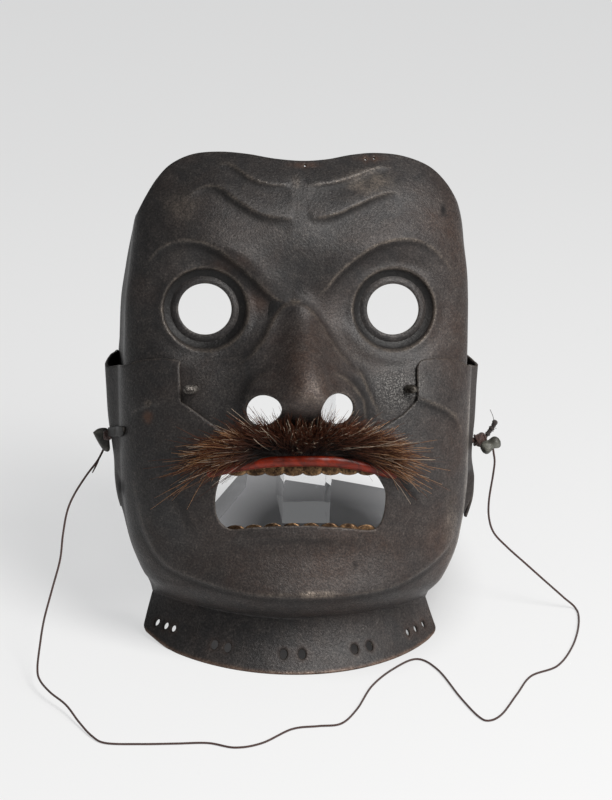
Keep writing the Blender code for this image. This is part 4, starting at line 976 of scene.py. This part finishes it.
def makeLowerPlate(look):
    runs = runColumns(look["step"], 120.0)
    chinTop = look["neckUp"] + look["chinRound"]
    rows = np.concatenate([
        np.linspace(0, look["neckUp"], 34)[:-1],
        look["neckUp"] + look["chinRound"] * (1 - np.cos(np.linspace(0, math.pi / 2, 26))),
        np.arange(chinTop + look["step"], 158.0, look["step"])])
    local, crest, hollow = lowerPoints(runs, rows, look, True)
    softer = lowerPoints(runs, rows, look, False)[0]
    across, forward, up = np.moveaxis(local, -1, 0)
    world = place(across, forward, up)
    cheekTop = [(-98, 170), (-98, 147.0), *((-x, y) for x, y in reversed(look["cheekTop"][:-2])),
                *look["noseStep"], *look["cheekTop"]]
    mouth = curveThrough(look["mouth"], 4 * len(look["mouth"]))
    end, over, far = look["cheekTopEnd"]
    gaps = [outlineGap(across, up, cheekTop) - far * ease((end - forward) / over),
            outlineGap(forward, up, look["wingTop"]), outlineGap(across, up, mouth)]
    for sign, edge, (y, z) in zip((-1, 1), look["sideEdges"], look["wingHoles"]):
        gaps.append(np.where(across * sign > 0, outlineGap(forward, up, edge), -9.0))
        gaps.append(look["wingHole"] - np.where(across * sign > 40, np.hypot(forward - y, up - z), 99.0))
    foot = ease(1 - rows / look["footHeight"])[:, None] * np.ones_like(up)
    rust, worn = (share * foot for share in look["footMarks"])
    crest = np.maximum(crest, worn)
    (holeRust, rustWide), (holeGrime, grimeWide) = look["laceRust"], look["laceGrime"]
    for x, share, radius in look["laceHoles"]:
        run = math.asin((x - look["flangeMiddle"]) / (look["flangeRadius"] - 2.0)) / look["flangeHalfAngle"]
        bottom, neck = flangeAndNeck(np.array(run), look, False)
        angle = look["flangeHalfAngle"] * run
        axis = np.array([math.sin(angle), -math.cos(angle), 0.0])
        offset = world - place(*(bottom + (neck - bottom) * share))
        away = np.linalg.norm(offset - (offset @ axis)[..., None] * axis, axis=-1) * 1000
        away = np.where(up < look["laceBelow"], away, 99.0)
        gaps.append(radius - away)
        rust = np.maximum(rust, holeRust * bell(away, rustWide))
        hollow = np.maximum(hollow, holeGrime * bell(away - radius, grimeWide))
    corner, inset = look["cornerRound"], look["flangeRadius"] * look["flangeHalfAngle"] * (1 - np.abs(runs))
    gaps.append(np.hypot(np.maximum(corner - inset, 0), np.maximum(corner - rows[:, None], 0)) - corner)
    makePlate("lowerPlate", "lower_face", local, softer, gaps, {"wear": crest, "grimeAndShade": hollow, "rust": rust})


makeLowerPlate(lowerPlate)
print("stage: lower plate")

lipLook = {
    "half": 45.2,
    "tall": 5.8,
    "stand": 3.2,
    "middle": 104.5,
    "drop": (6.6, 8.0),
    "ends": (0.35, 14),  # how thin it ends, and how late it thins
    "waves": ((0.05, 0.31, 0), (0.03, 0.83, 1)),
    "gap": 0.4,
    "colours": ((0.22, 0.017, 0.004), (0.055, 0.007, 0.003), (0.045, 0.020, 0.014)),
    "patterns": {"streaks": (7.0, 4.0, 0.65, 0.8), "chips": (2.2, 5.0, 0.7)},
    "mixes": (("streaks", 0.40, 0.66), ("chips", 0.60, 0.68)),
    "bumps": (("chips", 0.2, 0.4),),
    "rough": ("streaks", 0.26, 0.48),
    "coat": {"Coat Weight": 0.12, "Coat Roughness": 0.18, "Specular IOR Level": 0.25},
}


def makeLip(look):
    verts, turns, (thin, late) = [], np.linspace(0, math.pi, 12), look["ends"]
    for across in np.linspace(-look["half"], look["half"], 81):
        reach = abs(across / look["half"])
        full = thin + (1 - thin) * math.sqrt(max(0.0, 1 - reach**late))
        swell = 1 + sum(size * math.sin(across * rate + start) for size, rate, start in look["waves"])
        middle = look["middle"] - look["drop"][int(across > 0)] * reach**2.4
        up = middle + look["tall"] / 2 * np.cos(turns) * full
        stand = look["stand"] * np.sin(turns) ** 0.8 * full * swell
        up, stand = np.concatenate([up, up[-2:0:-1]]), np.concatenate([stand, np.full(10, -0.15)])
        verts += list(place(across, frontAt(across, up) + look["gap"] + stand, up))
    lacquer = patchyMaterial("redLacquer", look, look["colours"], look["coat"])
    standsFor(loft("upperLip", verts, 22, lacquer), "upper_lip")


makeLip(lipLook)


def newTree(name, inputs):
    # a geometry tree with named inputs, and the identifiers of its sockets by name
    tree = bpy.data.node_groups.new(name, "GeometryNodeTree")

    def socket(label, kind, way="INPUT"):
        return tree.interface.new_socket(label, in_out=way, socket_type="NodeSocket" + kind).identifier

    socket("Geometry", "Geometry")
    identifiers = {label: socket(label, kind) for label, kind in inputs.items()}
    socket("Geometry", "Geometry", "OUTPUT")
    return tree, identifiers, tree.nodes.new("NodeGroupInput").outputs


def endTree(tree, geometry, material):
    dressed = output(tree, "GeometryNodeSetMaterial", "Geometry", {"Geometry": geometry, "Material": material})
    tree.links.new(dressed, tree.nodes.new("NodeGroupOutput").inputs["Geometry"])


def bakeTree(obj, tree, identifiers, values, name):
    # the tree's result as a plain mesh of its own
    modifier = obj.modifiers.new(tree.name, "NODES")
    modifier.node_group = tree
    for label, value in values.items():
        modifier[identifiers[label]] = value
    graph = bpy.context.evaluated_depsgraph_get()
    mesh = bpy.data.meshes.new_from_object(obj.evaluated_get(graph), preserve_all_data_layers=True, depsgraph=graph)
    mesh.name = name
    mesh.shade_smooth()
    bpy.data.objects.remove(obj)
    print(f"  {name}: {len(mesh.polygons)} faces")
    return addObject(name, mesh)


teethLook = {
    "count": 8,
    "half": 35.5,
    "thick": 1.3,
    "overlap": 1.2,
    "unevenness": 0.035,
    # how high its root and its tips are, how much taller the middle teeth are, its seed
    "upper": (103.0, 97.0, 0.0, 3),
    "lower": (65.5, 73.2, 0.16, 8),
    "behind": 2.5,
    # the gilt is darkened overall, partly as painted shade from the lip over the upper row
    "colours": ((0.32, 0.19, 0.095), (0.055, 0.030, 0.018), (0.028, 0.018, 0.012)),
    "patterns": {"blotch": (3.0, 4.0, 0.65), "fine": (0.8, 3.0, 0.7)},
    "mixes": (("blotch", 0.36, 0.62), ("fine", 0.45, 0.66)),
    "bumps": (("fine", 0.12, 0.5),),
    "rough": ("fine", 0.28, 0.5),
}


def toothObject(width, height, thick):
    # one tooth: X across, Y out of the mouth, Z from its root to its rounded edge
    rows, columns, front, back = 11, 9, [], []
    for t in np.linspace(0, 1, rows):
        z = height * (1 - (1 - t) ** 1.5)
        shoulder = max(0.0, (z / height - 0.42) / 0.58)
        half = width / 2 * (1 - 0.03 * shoulder) * math.sqrt(max(0.0, 1 - shoulder**3.0))
        for s in np.linspace(-1, 1, columns):
            depth = thick / 2 * (0.35 + 0.65 * (1 - s**8))
            front.append((half * s, 0.35 * (1 - s**4) * (1 - 0.7 * shoulder**3) + depth, z))
            back.append((half * s, -depth, z))
    count, faces = rows * columns, []
    for r in range(rows - 1):
        for a in range(r * columns, r * columns + columns - 1):
            b = a + count
            faces += [(a, a + columns, a + columns + 1, a + 1), (b, b + 1, b + columns + 1, b + columns)]
    grid = np.arange(count).reshape(rows, columns)
    loop = np.concatenate([grid[0], grid[1:, -1], grid[-1, -2::-1], grid[-2:0:-1, 0]]).tolist()
    faces += [(a, b, b + count, a + count) for a, b in zip(loop, loop[1:] + loop[:1])]
    return faceOut(newObject("toothPattern", np.array(front + back) * 0.001, faces), 1e-6)


def teethTree():
    tree, identifiers, inputs = newTree("teethAlongArch", {
        "Tooth": "Object", "Teeth": "Int", "Upright": "Vector", "Unevenness": "Float", "Middle Swell": "Float",
        "Seed": "Int", "Finish": "Material"})
    curve = output(tree, "GeometryNodeMeshToCurve", "Curve", {"Mesh": inputs["Geometry"]})
    spaced = output(tree, "GeometryNodeResampleCurve", "Curve", {"Curve": curve, "Count": inputs["Teeth"]})
    tangent = output(tree, "GeometryNodeInputTangent", "Tangent")
    turn = output(tree, "FunctionNodeAxesToRotation", "Rotation", {0: inputs["Upright"], 1: tangent},
                  primary_axis="Z", secondary_axis="X")
    pattern = output(tree, "GeometryNodeObjectInfo", "Geometry", {"Object": inputs["Tooth"]})
    along = output(tree, "GeometryNodeSplineParameter", "Factor")
    away = calculate(tree, "ABSOLUTE", calculate(tree, "SUBTRACT", along, 0.5), 0.0)
    inner = calculate(tree, "SUBTRACT", 1.0, calculate(tree, "MULTIPLY", away, 2.0))
    wobble = output(tree, "FunctionNodeRandomValue", 1, {"Seed": inputs["Seed"], 2: -1.0, 3: 1.0}, data_type="FLOAT")
    tall = calculate(tree, "ADD", 1.0, calculate(tree, "MULTIPLY", inner, inputs["Middle Swell"]),
                     calculate(tree, "MULTIPLY", wobble, inputs["Unevenness"]))
    size = output(tree, "ShaderNodeCombineXYZ", "Vector", {"X": 1.0, "Y": 1.0, "Z": tall})
    placed = output(tree, "GeometryNodeInstanceOnPoints", "Instances", {
        "Points": spaced, "Instance": pattern, "Rotation": turn, "Scale": size})
    real = output(tree, "GeometryNodeRealizeInstances", "Geometry", {"Geometry": placed})
    endTree(tree, real, inputs["Finish"])
    return tree, identifiers


def makeTeeth(look):
    gilt = patchyMaterial("giltTeeth", look, look["colours"], {"Metallic": 0.9})
    tree, identifiers = teethTree()
    upright = Vector(place(0, 0, 1)) - Vector(place(0, 0, 0))
    pitch = 2 * look["half"] / look["count"]
    reach = look["half"] - pitch / 2
    across = np.linspace(-reach, reach, 33)
    for row in ("upper", "lower"):
        root, tip, swell, seed = look[row]
        tooth = toothObject(pitch * look["overlap"], abs(tip - root), look["thick"])
        path = place(across, frontAt(across, root) - look["behind"], root)
        arch = newObject("arch", path, [], edges=[(i, i + 1) for i in range(len(path) - 1)])
        made = bakeTree(arch, tree, identifiers, {
            "Tooth": tooth, "Teeth": look["count"], "Upright": tuple(upright.normalized() * (1 if tip > root else -1)),
            "Unevenness": look["unevenness"], "Middle Swell": swell, "Seed": seed, "Finish": gilt}, row + "Teeth")
        bpy.data.objects.remove(tooth)
        standsFor(made, row + "_teeth")


makeTeeth(teethLook)
print("stage: lip and teeth")

moustacheLook = {
    "half": 38.0,
    "bristles": 3500,
    "thickness": 0.18,
    "spread": 0.29,
    "droop": 0.20,
    # degrees from upright at each side, how much further at its end, less for the top bristles, more for the
    # lowest, and how much more for those at the end
    "lean": ((86, 21, 27, 3, 3), (80, 26, 34, 3, 5)),
    "tuftTurn": 8.0,  # degrees
    "tuftReach": (0.70, 1.20),
    "seed": 23,
    "root": (0.008, 0.005, 0.004),
    "brown": (0.085, 0.026, 0.011),
    "golden": (0.48, 0.25, 0.115),
    "pale": (0.55, 0.45, 0.34),
    "height": 110.6,
    "bow": 1.5,
    "gap": 0.9,
    # in the middle, how much more at the sides, less for the top bristles and more for the lowest
    "length": (19, 8, 10, 4),
    "forward": (5.0, 2.5, 3.0),  # how far its tips stand out, more at the sides, and more in the middle
    # the band the bristles grow on: up from its middle and out from the face
    "band": ((-3.6, 0.2), (-1, 0), (2, 0), (4.4, 0.2), (4.9, 1.5), (4, 2.8), (2.2, 3.5), (0, 3.8),
             (-2, 3.5), (-3.4, 2.6), (-4, 1.4)),
}


def bristleMaterial(look):
    made, tree, _ = newMaterial("boarBristle", {"Roughness": 0.45, "Specular IOR Level": 0.18})
    along, shadeOf, warmth = (attributeOf(tree, name) for name in ("along", "shade", "warmth"))
    hue = calculate(tree, "ADD", calculate(tree, "MULTIPLY", shadeOf, 0.62), calculate(tree, "MULTIPLY", warmth, 0.38))
    body = mixColour(tree, between(tree, hue, 0.58, 0.84), look["root"], look["brown"])
    tip = mixColour(tree, between(tree, hue, 0.57, 0.79), look["brown"], look["golden"])
    tip = mixColour(tree, between(tree, shadeOf, 0.89, 0.94), tip, look["pale"])
    return shade(made, {"Base Color": mixColour(tree, between(tree, along, 0.30, 1.0), body, tip)})


def bristleObject():
    # one straight tapered bristle of unit length and radius
    turns, along = 2 * math.pi * np.arange(3) / 3, np.linspace(0, 1, 5)
    verts = [(math.cos(turn) * (1.0 - 0.62 * t**1.6), math.sin(turn) * (1.0 - 0.62 * t**1.6), t)
             for t in along for turn in turns]
    bristle = loft("bristlePattern", verts, len(turns))
    setAttribute(bristle, "along", [v.co.z for v in bristle.data.vertices])
    return bristle


def moustacheTree():
    tree, identifiers, inputs = newTree("bristlesOnBand", {
        "Bristle": "Object", "Density": "Float", "Thickness": "Float", "Spread": "Float", "Droop": "Float",
        "Seed": "Int", "Finish": "Material"})

    def named(name, kind="FLOAT"):
        return output(tree, "GeometryNodeInputNamedAttribute", "Attribute", {"Name": name}, data_type=kind)

    def store(geometry, name, value, kind):
        return output(tree, "GeometryNodeStoreNamedAttribute", "Geometry", {
            "Geometry": geometry, "Name": name, "Value": value}, data_type=kind, domain="INSTANCE")

    def scaled(vector, factor):
        return output(tree, "ShaderNodeVectorMath", "Vector", {0: vector, "Scale": factor}, operation="SCALE")

    def random(low, high, offset):
        first, result, kind = (0, 0, "FLOAT_VECTOR") if isinstance(low, tuple) else (2, 1, "FLOAT")
        seed = calculate(tree, "ADD", inputs["Seed"], float(offset))
        return output(tree, "FunctionNodeRandomValue", result, {"Seed": seed, first: low, first + 1: high},
                      data_type=kind)

    reach = named("reach")
    points = output(tree, "GeometryNodeDistributePointsOnFaces", "Points", {
        "Mesh": inputs["Geometry"], "Density": calculate(tree, "MULTIPLY", inputs["Density"], named("grows")),
        "Seed": inputs["Seed"]}, distribute_method="RANDOM")
    stray = scaled(random((-1, -1, -1), (1, 1, 1), 1), inputs["Spread"])
    aim = output(tree, "ShaderNodeVectorMath", "Vector", {0: named("aim", "FLOAT_VECTOR"), 1: stray}, operation="ADD")
    width = calculate(tree, "MULTIPLY", inputs["Thickness"], random(0.7, 1.15, 3))
    length = calculate(tree, "MULTIPLY", reach, random(0.45, 1.06, 2))
    placed = output(tree, "GeometryNodeInstanceOnPoints", "Instances", {
        "Points": points,
        "Instance": output(tree, "GeometryNodeObjectInfo", "Geometry", {"Object": inputs["Bristle"]}),
        "Rotation": output(tree, "FunctionNodeAlignRotationToVector", "Rotation", {"Vector": aim}, axis="Z"),
        "Scale": output(tree, "ShaderNodeCombineXYZ", "Vector", {"X": width, "Y": width, "Z": length})})
    bend = scaled(scaled(random((-1, -1, -1.2), (1, 0.6, 0.7), 4), inputs["Droop"]), reach)
    placed = store(placed, "bend", bend, "FLOAT_VECTOR")
    placed = store(placed, "shade", random(0.0, 1.0, 5), "FLOAT")
    real = output(tree, "GeometryNodeRealizeInstances", "Geometry", {"Geometry": placed})
    along = named("along")
    curl = scaled(named("bend", "FLOAT_VECTOR"), calculate(tree, "MULTIPLY", along, along))
    bent = output(tree, "GeometryNodeSetPosition", "Geometry", {"Geometry": real, "Offset": curl})
    joined = addNode(tree, "GeometryNodeJoinGeometry")
    for geometry in (inputs["Geometry"], bent):
        tree.links.new(geometry, joined.inputs[0])
    endTree(tree, joined.outputs[0], inputs["Finish"])
    return tree, identifiers


def makeMoustache(look):
    rings, verts, aims, reaches, warmth = 61, [], [], [], []
    (short, sideMore, highLess, lowMore), (forward, sideForward, middleForward) = look["length"], look["forward"]
    rng = np.random.default_rng(look["seed"])
    tuftTurn = rng.normal(0, look["tuftTurn"], (rings // 3 + 1, 6))
    tuftReach = rng.uniform(*look["tuftReach"], (rings // 3 + 1, 6))
    for ring, across in enumerate(np.linspace(-look["half"], look["half"], rings)):
        u = across / look["half"]
        thin = math.sqrt(max(0.05, 1 - abs(u) ** 5))
        toSide = float(ease(abs(u) * 1.9))
        lean, endLean, highLean, lowLean, lowEndLean = look["lean"][int(u > 0)]
        lifted = 1 - 0.75 * float(ease((u - 0.65) / 0.35)) if u > 0 else 1 - 0.5 * u * u
        for k, (rise, stand) in enumerate(look["band"]):
            up = look["height"] - look["bow"] * u**2 + rise * thin
            root = place(across, frontAt(across, up) + look["gap"] + stand * thin, up)
            high, low = max(rise / 4.5, 0), max(-rise / 4.5, 0)
            outer = lean + endLean * u * u - highLean * high * lifted + (lowLean + lowEndLean * u * u) * low
            longer = 6 * low - 4 * high if u > 0 else 2.0 * (1 - high)
            angle = math.radians(90 - math.copysign(toSide * outer, u) + tuftTurn[ring // 3, k // 2])
            length = short + toSide * (sideMore - highLess * high + lowMore * low + longer)
            length *= tuftReach[ring // 3, k // 2]
            tipAcross, tipUp = across + length * math.cos(angle), up + length * math.sin(angle)
            stretch = forward + sideForward * (1 - high + low) * toSide + middleForward * (toSide < 0.5)
            aim = place(tipAcross, frontAt(tipAcross, tipUp) + stretch, tipUp) - root
            verts.append(root)
            aims.append(aim / np.linalg.norm(aim))
            reaches.append(length * 0.001)
            warmth.append(-0.3 + (1.15 if u > 0 else 1.0) * float(ease((abs(u) - 0.2) / 0.55)))
    band = loft("moustacheBand", verts, len(look["band"]))
    setAttribute(band, "aim", aims, "FLOAT_VECTOR")
    grows = [0.0, 0.0, 0.0] + [1.0] * 7 + [0.0]
    for name, values in (("reach", reaches), ("grows", grows * rings), ("warmth", warmth)):
        setAttribute(band, name, values)
    area = sum(face.area for face in band.data.polygons) * 0.6
    bristle = bristleObject()
    made = bakeTree(band, *moustacheTree(), {
        "Bristle": bristle, "Density": look["bristles"] / area, "Thickness": look["thickness"] * 0.001,
        "Spread": look["spread"], "Droop": look["droop"], "Seed": look["seed"], "Finish": bristleMaterial(look)},
        "moustache")
    bpy.data.objects.remove(bristle)
    standsFor(made, "moustache")


makeMoustache(moustacheLook)
print("stage: moustache")

fittings = {
    # left and right, where there are two
    "pegAcross": (-50.8, 51.2),
    "pegHeight": 137.6,
    "pegRadius": 2.15,
    "pegReach": (5.4, 3.7),
    "pegColours": (((0.30, 0.275, 0.25), (0.030, 0.025, 0.022)), ((0.11, 0.10, 0.085), (0.030, 0.024, 0.020))),
    "knotHeight": (112.5, 109.0),
    "knotForward": 38.0,
    "knotMiddle": (1.7, 4.9),  # how far its ball stands out from the wing
    "knotAhead": (3.4, 0.0),
    "knotRadius": (2.5, 3.9),
    "knotTurns": (5, 6),
    "knotCord": 1.2,
    "innerKnot": (4.6, 1.5, 4),  # how far inside the wing, its radius and its turns
    "strapHeight": 114.2,
    # where it lies forward along the wing, then across over the corner of the face
    "strapForward": (44.5, 48.5, 53.0, 57.0),
    "strapAcross": (-83.9, -83.0, -82.2),
    "strapTall": 4.9,
    "strapRise": 2.6,  # how much higher its front end stands than its back end
    "strapThick": 1.1,
    "strapColours": ((0.005, 0.0045, 0.004), (0.022, 0.018, 0.015)),
}
pegIron = {
    "patterns": {"mottle": (1.5, 4.0, 0.65)},
    "mixes": (("mottle", 0.42, 0.56),),
    "bumps": (("mottle", 0.3, 0.5),),
    "rough": ("mottle", 0.30, 0.55),
}
leather = {
    "patterns": {"grain": (0.7,), "worn": (2.5, 4.0, 0.6)},
    "mixes": (("worn", 0.45, 0.72),),
    "bumps": (("grain", 0.15, 0.5),),
    "rough": ("worn", 0.42, 0.62),
}


def wingPlace(sign, forward, up):
    # a point of a wing's outer face
    start, back = float(sectionAt(up, "sideStart")), float(sectionAt(up, "back"))
    return facePoints(float(sign), (start - forward) / (start - back), up, winged=True)[0]


def makePegs(look):
    for index, (side, sign) in enumerate(sides.items()):
        hole, reach, up = look["pegAcross"][index], look["pegReach"][index], look["pegHeight"]
        inside = float(frontAt(hole, up)) - faceForm["wall"] - faceForm["lap"]
        over = float(frontAt(hole + sign * 5.0, up)) + look["pegRadius"] + 1.0
        path = ((hole, inside - 4.5), (hole, inside + 0.8), (hole + sign * 0.8, inside + 3.0),
                (hole + sign * reach * 0.5, over), (hole + sign * reach, over - 0.3))
        radii = [look["pegRadius"] * 0.001 * share for share in (0.9, 0.95, 1.0, 1.0, 0.95)]
        bar = curveThrough([(*place(x, y, up), radius) for (x, y), radius in zip(path, radii)], 10 * len(path))
        line, width = bar[:, :3], bar[:, 3]
        run = runLength(line)
        for end in (run, run[-1] - run):
            width = width * np.sqrt(np.maximum(1 - (1 - np.clip(end / width, 0, 1)) ** 2, 0.02))
        finish = patchyMaterial("pegIron" + side, pegIron, look["pegColours"][index], {"Metallic": 0.7})
        peg = faceOut(newObject("peg" + side, *twistedTube(line, 2.0, 16, taper=width), finish))
        standsFor(peg, "peg_" + side.lower())


def coilPath(middle, radius, turns, tilt=0.85):
    # cord wound over a ball about the X axis
    t = np.linspace(0, 1, 220)
    around = 2 * math.pi * turns * t
    lean = math.pi / 2 + tilt * np.sin(2 * math.pi * (turns - 2) * t + 0.7)
    ball = (np.cos(lean), np.sin(lean) * np.cos(around), np.sin(lean) * np.sin(around))
    return middle + radius * np.stack(ball, axis=1)


def joinMesh(parts):
    verts, faces = [], []
    for partVerts, partFaces in parts:
        faces += [tuple(len(verts) + i for i in face) for face in partFaces]
        verts += list(partVerts)
    return verts, faces


def makeKnots(look):
    made = []
    for index, (side, sign) in enumerate(sides.items()):
        out, ahead, radius, height, turns = (
            look["knot" + key][index] for key in ("Middle", "Ahead", "Radius", "Height", "Turns"))
        across, forward, up = wingPlace(sign, look["knotForward"], height)
        inside, *innerBall = look["innerKnot"]
        middle, inner = place(across + sign * out, forward + ahead, up), place(across - sign * inside, forward, up)
        parts, t = [], np.linspace(-1, 1, 15)
        for spot, size, turns in ((middle, radius, turns), (inner, *innerBall)):
            coil = coilPath(spot, (size - 0.35) * 0.001, turns)
            core = spot + np.outer(t * size * 0.00082, (1, 0, 0))
            parts.append(twistedTube(coil, look["knotCord"] * 0.001, 8, 2, 2.4))
            parts.append(twistedTube(core, size * 0.00172, 14, taper=np.sqrt(np.maximum(1 - t * t, 0.02))))
        parts.append(twistedTube(np.linspace(inner, middle, 12), 0.0032, 10, 2, 3.0))
        made.append(standsFor(newObject("knot" + side, *joinMesh(parts), silk), "knot_" + side.lower()))
    return made


def makeStrap(look):
    up = look["strapHeight"]
    track = [wingPlace(-1, forward, up)[:2] for forward in look["strapForward"]]
    track += [(x, float(frontAt(x, up))) for x in look["strapAcross"]]
    track = curveThrough(track, 36)
    along = np.gradient(track, axis=0)
    outward = np.stack([-along[:, 1], along[:, 0]], axis=1)
    outward /= np.linalg.norm(outward, axis=1)[:, None]
    verts = []
    for t, spot, normal in zip(np.linspace(0, 1, 36), track, outward):
        half = look["strapTall"] / 2 * (0.92 + 0.08 * math.sin(math.pi * t))
        half *= math.sqrt(1 - 0.55 * max(0, t - 0.8) / 0.2)
        for turn in np.linspace(0, 2 * math.pi, 17)[:-1]:
            c, s = math.cos(turn), math.sin(turn)
            rise = half * math.copysign(abs(c) ** 0.35, c)
            depth = 0.35 + look["strapThick"] / 2 * (1 + math.copysign(abs(s) ** 0.5, s))
            verts.append(place(*(spot + normal * depth), up + look["strapRise"] * t + rise))
    finish = patchyMaterial("blackLeather", leather, look["strapColours"], {"Specular IOR Level": 0.3})
    standsFor(loft("strapLeft", verts, 16, finish), "strap_left")


toggleLook = {
    # across from the wing and up from the knot, millimetres
    "leftOutline": ((-8.7, 1.0), (-6.3, 2.8), (-3.2, 3.3), (-1.4, 2.5), (-0.8, -0.5), (-0.5, -4.3), (-0.4, -7.2),
                    (-1.4, -8.4), (-3.2, -7.9), (-4.8, -6.1), (-7.0, -2.4), (-8.7, 1.0)),
    "leftDepth": (3.2, -2.0),
    # along it from end to end, and its radius there
    "rightLobes": ((0.0, 1.3), (0.08, 2.5), (0.24, 3.2), (0.40, 2.9), (0.52, 2.5), (0.66, 2.9), (0.82, 3.0),
                   (0.94, 2.2), (1.0, 1.1)),
    "rightEnds": ((4.6, -4.4), (13.4, 0.8)),
    "rightForward": 7.2,
    "grey": ((0.030, 0.029, 0.026), (0.115, 0.108, 0.092), (0.03, 0.026, 0.022)),
    "green": ((0.040, 0.040, 0.034), (0.155, 0.155, 0.130), (0.03, 0.026, 0.022)),
    "patterns": {"bands": (4.5, 4.0, 0.6, 1.2), "fine": (0.7, 3.0, 0.7)},
    "mixes": (("bands", 0.38, 0.66), ("fine", 0.55, 0.72, 0.0, 0.6)),
    "bumps": (("fine", 0.12, 0.5), ("bands", 0.4, 0.5)),
    "rough": ("fine", 0.38, 0.6),
}


def makeToggles(look):
    (across, forward, up), right = (
        wingPlace(sign, fittings["knotForward"], height) for sign, height in zip((-1, 1), fittings["knotHeight"]))
    outline = curveThrough(look["leftOutline"], 4 * len(look["leftOutline"]))[:-1]
    middle = outline.mean(0)
    near, far = look["leftDepth"]
    verts, rings = [], 9
    for k in range(rings):
        turn, isEnd = math.pi * k / (rings - 1), k in (0, rings - 1)
        inset = 1 - 0.34 * (1 - math.sin(turn) ** 0.6) - 0.12 * isEnd
        depth = (near + far) / 2 + (near - far) / 2 * math.cos(turn)
        for x, y in middle + (outline - middle) * inset:
            verts.append(place(across + x, forward + depth * (0.75 + 0.25 * abs(x) / 9), up + y))
    made = [loft("toggleLeft", verts, len(outline), patchyMaterial("greyHorn", look, look["grey"]))]
    across, forward, up = right
    start, end = np.array(look["rightEnds"])
    along = (end - start) / np.linalg.norm(end - start)
    aside = np.array([-along[1], along[0]])
    verts, rings, sideCount = [], 34, 20
    for k in range(rings):
        t, isEnd = (1 - math.cos(math.pi * k / (rings - 1))) / 2, k in (0, rings - 1)
        radius = float(smooth(t, *zip(*look["rightLobes"]))) * (0.25 if isEnd else 1.0)
        for turn in np.linspace(0, 2 * math.pi, sideCount + 1)[:-1]:
            rough = radius * (1 + 0.07 * math.sin(3 * turn + 5 * t) + 0.05 * math.sin(5 * turn - 9 * t))
            x, y = start + (end - start) * t + aside * rough * math.cos(turn)
            verts.append(place(across + x, forward + look["rightForward"] + rough * math.sin(turn), up + y))
    made.append(loft("toggleRight", verts, sideCount, patchyMaterial("greenHorn", look, look["green"])))
    return [standsFor(toggle, "toggle_" + side.lower()) for toggle, side in zip(made, sides)]


tailLook = {
    "left": ((-93.3, 74.6, 79.6), (-94.5, 73, 77.2), (-95.6, 71.8, 75.4), (-96.4, 71, 74)),
    "right": ((96.2, 79, 86.8), (98.4, 79.8, 90.4), (100.6, 80.3, 93.8), (101.9, 80.6, 97)),
    "hair": ((101, 80.6, 96.6), (100.4, 80.8, 99.2), (98.8, 81.2, 102.6)),
    "fibres": 14,
    "seed": 5,
    "colours": ((0.008, 0.006, 0.006), (0.035, 0.022, 0.019), (0.05, 0.038, 0.033)),
}


def makeTails(look):
    def strand(points, step, *numbers, **shape):
        return twistedTube(onGround(*evenPath(points, step)[0].T), *numbers, **shape)

    path, _ = evenPath(look["left"], 0.35)
    t = np.linspace(0, 1, len(path))
    tube = twistedTube(onGround(*path.T), 0.001, 8, 2, 2.6, taper=1.0 - 0.45 * t**2)
    left = standsFor(newObject("cordTailLeft", *tube, silk), "cord_end_left")
    path, _ = evenPath(look["right"], 0.3)
    t = np.linspace(0, 1, len(path))
    lumps = (0.75 + 0.45 * ease(t / 0.5)) * (1 + 0.16 * np.sin(t * 23) + 0.12 * np.sin(t * 41 + 1))
    parts = [twistedTube(onGround(*path.T), 0.0022, 10, 3, 2.4, taper=lumps)]
    rng = np.random.default_rng(look["seed"])
    for _ in range(look["fibres"]):
        root = path[int(len(path) * rng.uniform(0.45, 0.98))]
        away = rng.normal(0, 1.0, 3) + (0.3, 0.0, 1.0)
        parts.append(strand([root, root + away * 0.7, root + away * 1.1 + (0, 0, -0.2)], 0.3, 0.00022, 4))
    parts.append(strand(look["hair"], 0.4, 0.0003, 5))
    darkSilk = patchyMaterial("tailSilk", cordLook, look["colours"], cordLook["sheen"])
    return left, standsFor(newObject("cordTailRight", *joinMesh(parts), darkSilk), "cord_end_right")


makePegs(fittings)
knots = makeKnots(fittings)
makeStrap(fittings)
toggles = makeToggles(toggleLook)
tails = makeTails(tailLook)
print("stage: pegs, knots, strap and toggles")

standLook = {
    "bevel": 0.7,
    # both acrylics are tinted grey as painted shade, the base much more than the post
    "shadeTints": {"Base": (0.62, 0.62, 0.63), "Post": (0.88, 0.885, 0.89)},
    "ior": 1.22,
    "scuffs": (3.0, 6.0, 0.7, 2.0),
}


def makeStand(look):
    for part, shadeTint in look["shadeTints"].items():
        cadNode = "stand_" + part.lower()
        mesh = bmesh.new()
        mesh.from_mesh(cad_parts[cadNode].data)
        bmesh.ops.remove_doubles(mesh, verts=mesh.verts, dist=1e-6)
        bmesh.ops.dissolve_limit(mesh, angle_limit=math.radians(1.0), verts=mesh.verts, edges=mesh.edges)
        bmesh.ops.bevel(mesh, geom=list(mesh.edges), offset=look["bevel"] * 0.001, segments=3, profile=0.6,
                        affect="EDGES", clamp_overlap=True)
        data = bpy.data.meshes.new("stand" + part)
        mesh.to_mesh(data)
        mesh.free()
        acrylic, tree, where = newMaterial(f"stand{part}Acrylic", {
            "Transmission Weight": 1.0, "IOR": look["ior"], "Base Color": shadeTint})
        scuffs = noise(tree, where, *look["scuffs"])
        data.materials.append(shade(acrylic, {"Roughness": between(tree, scuffs, 0.62, 0.80, 0.0, 0.10)}))
        data.shade_smooth()
        data.set_sharp_from_angle(angle=math.radians(25))
        standsFor(addObject("stand" + part, data), cadNode)


makeStand(standLook)
print("stage: stand")
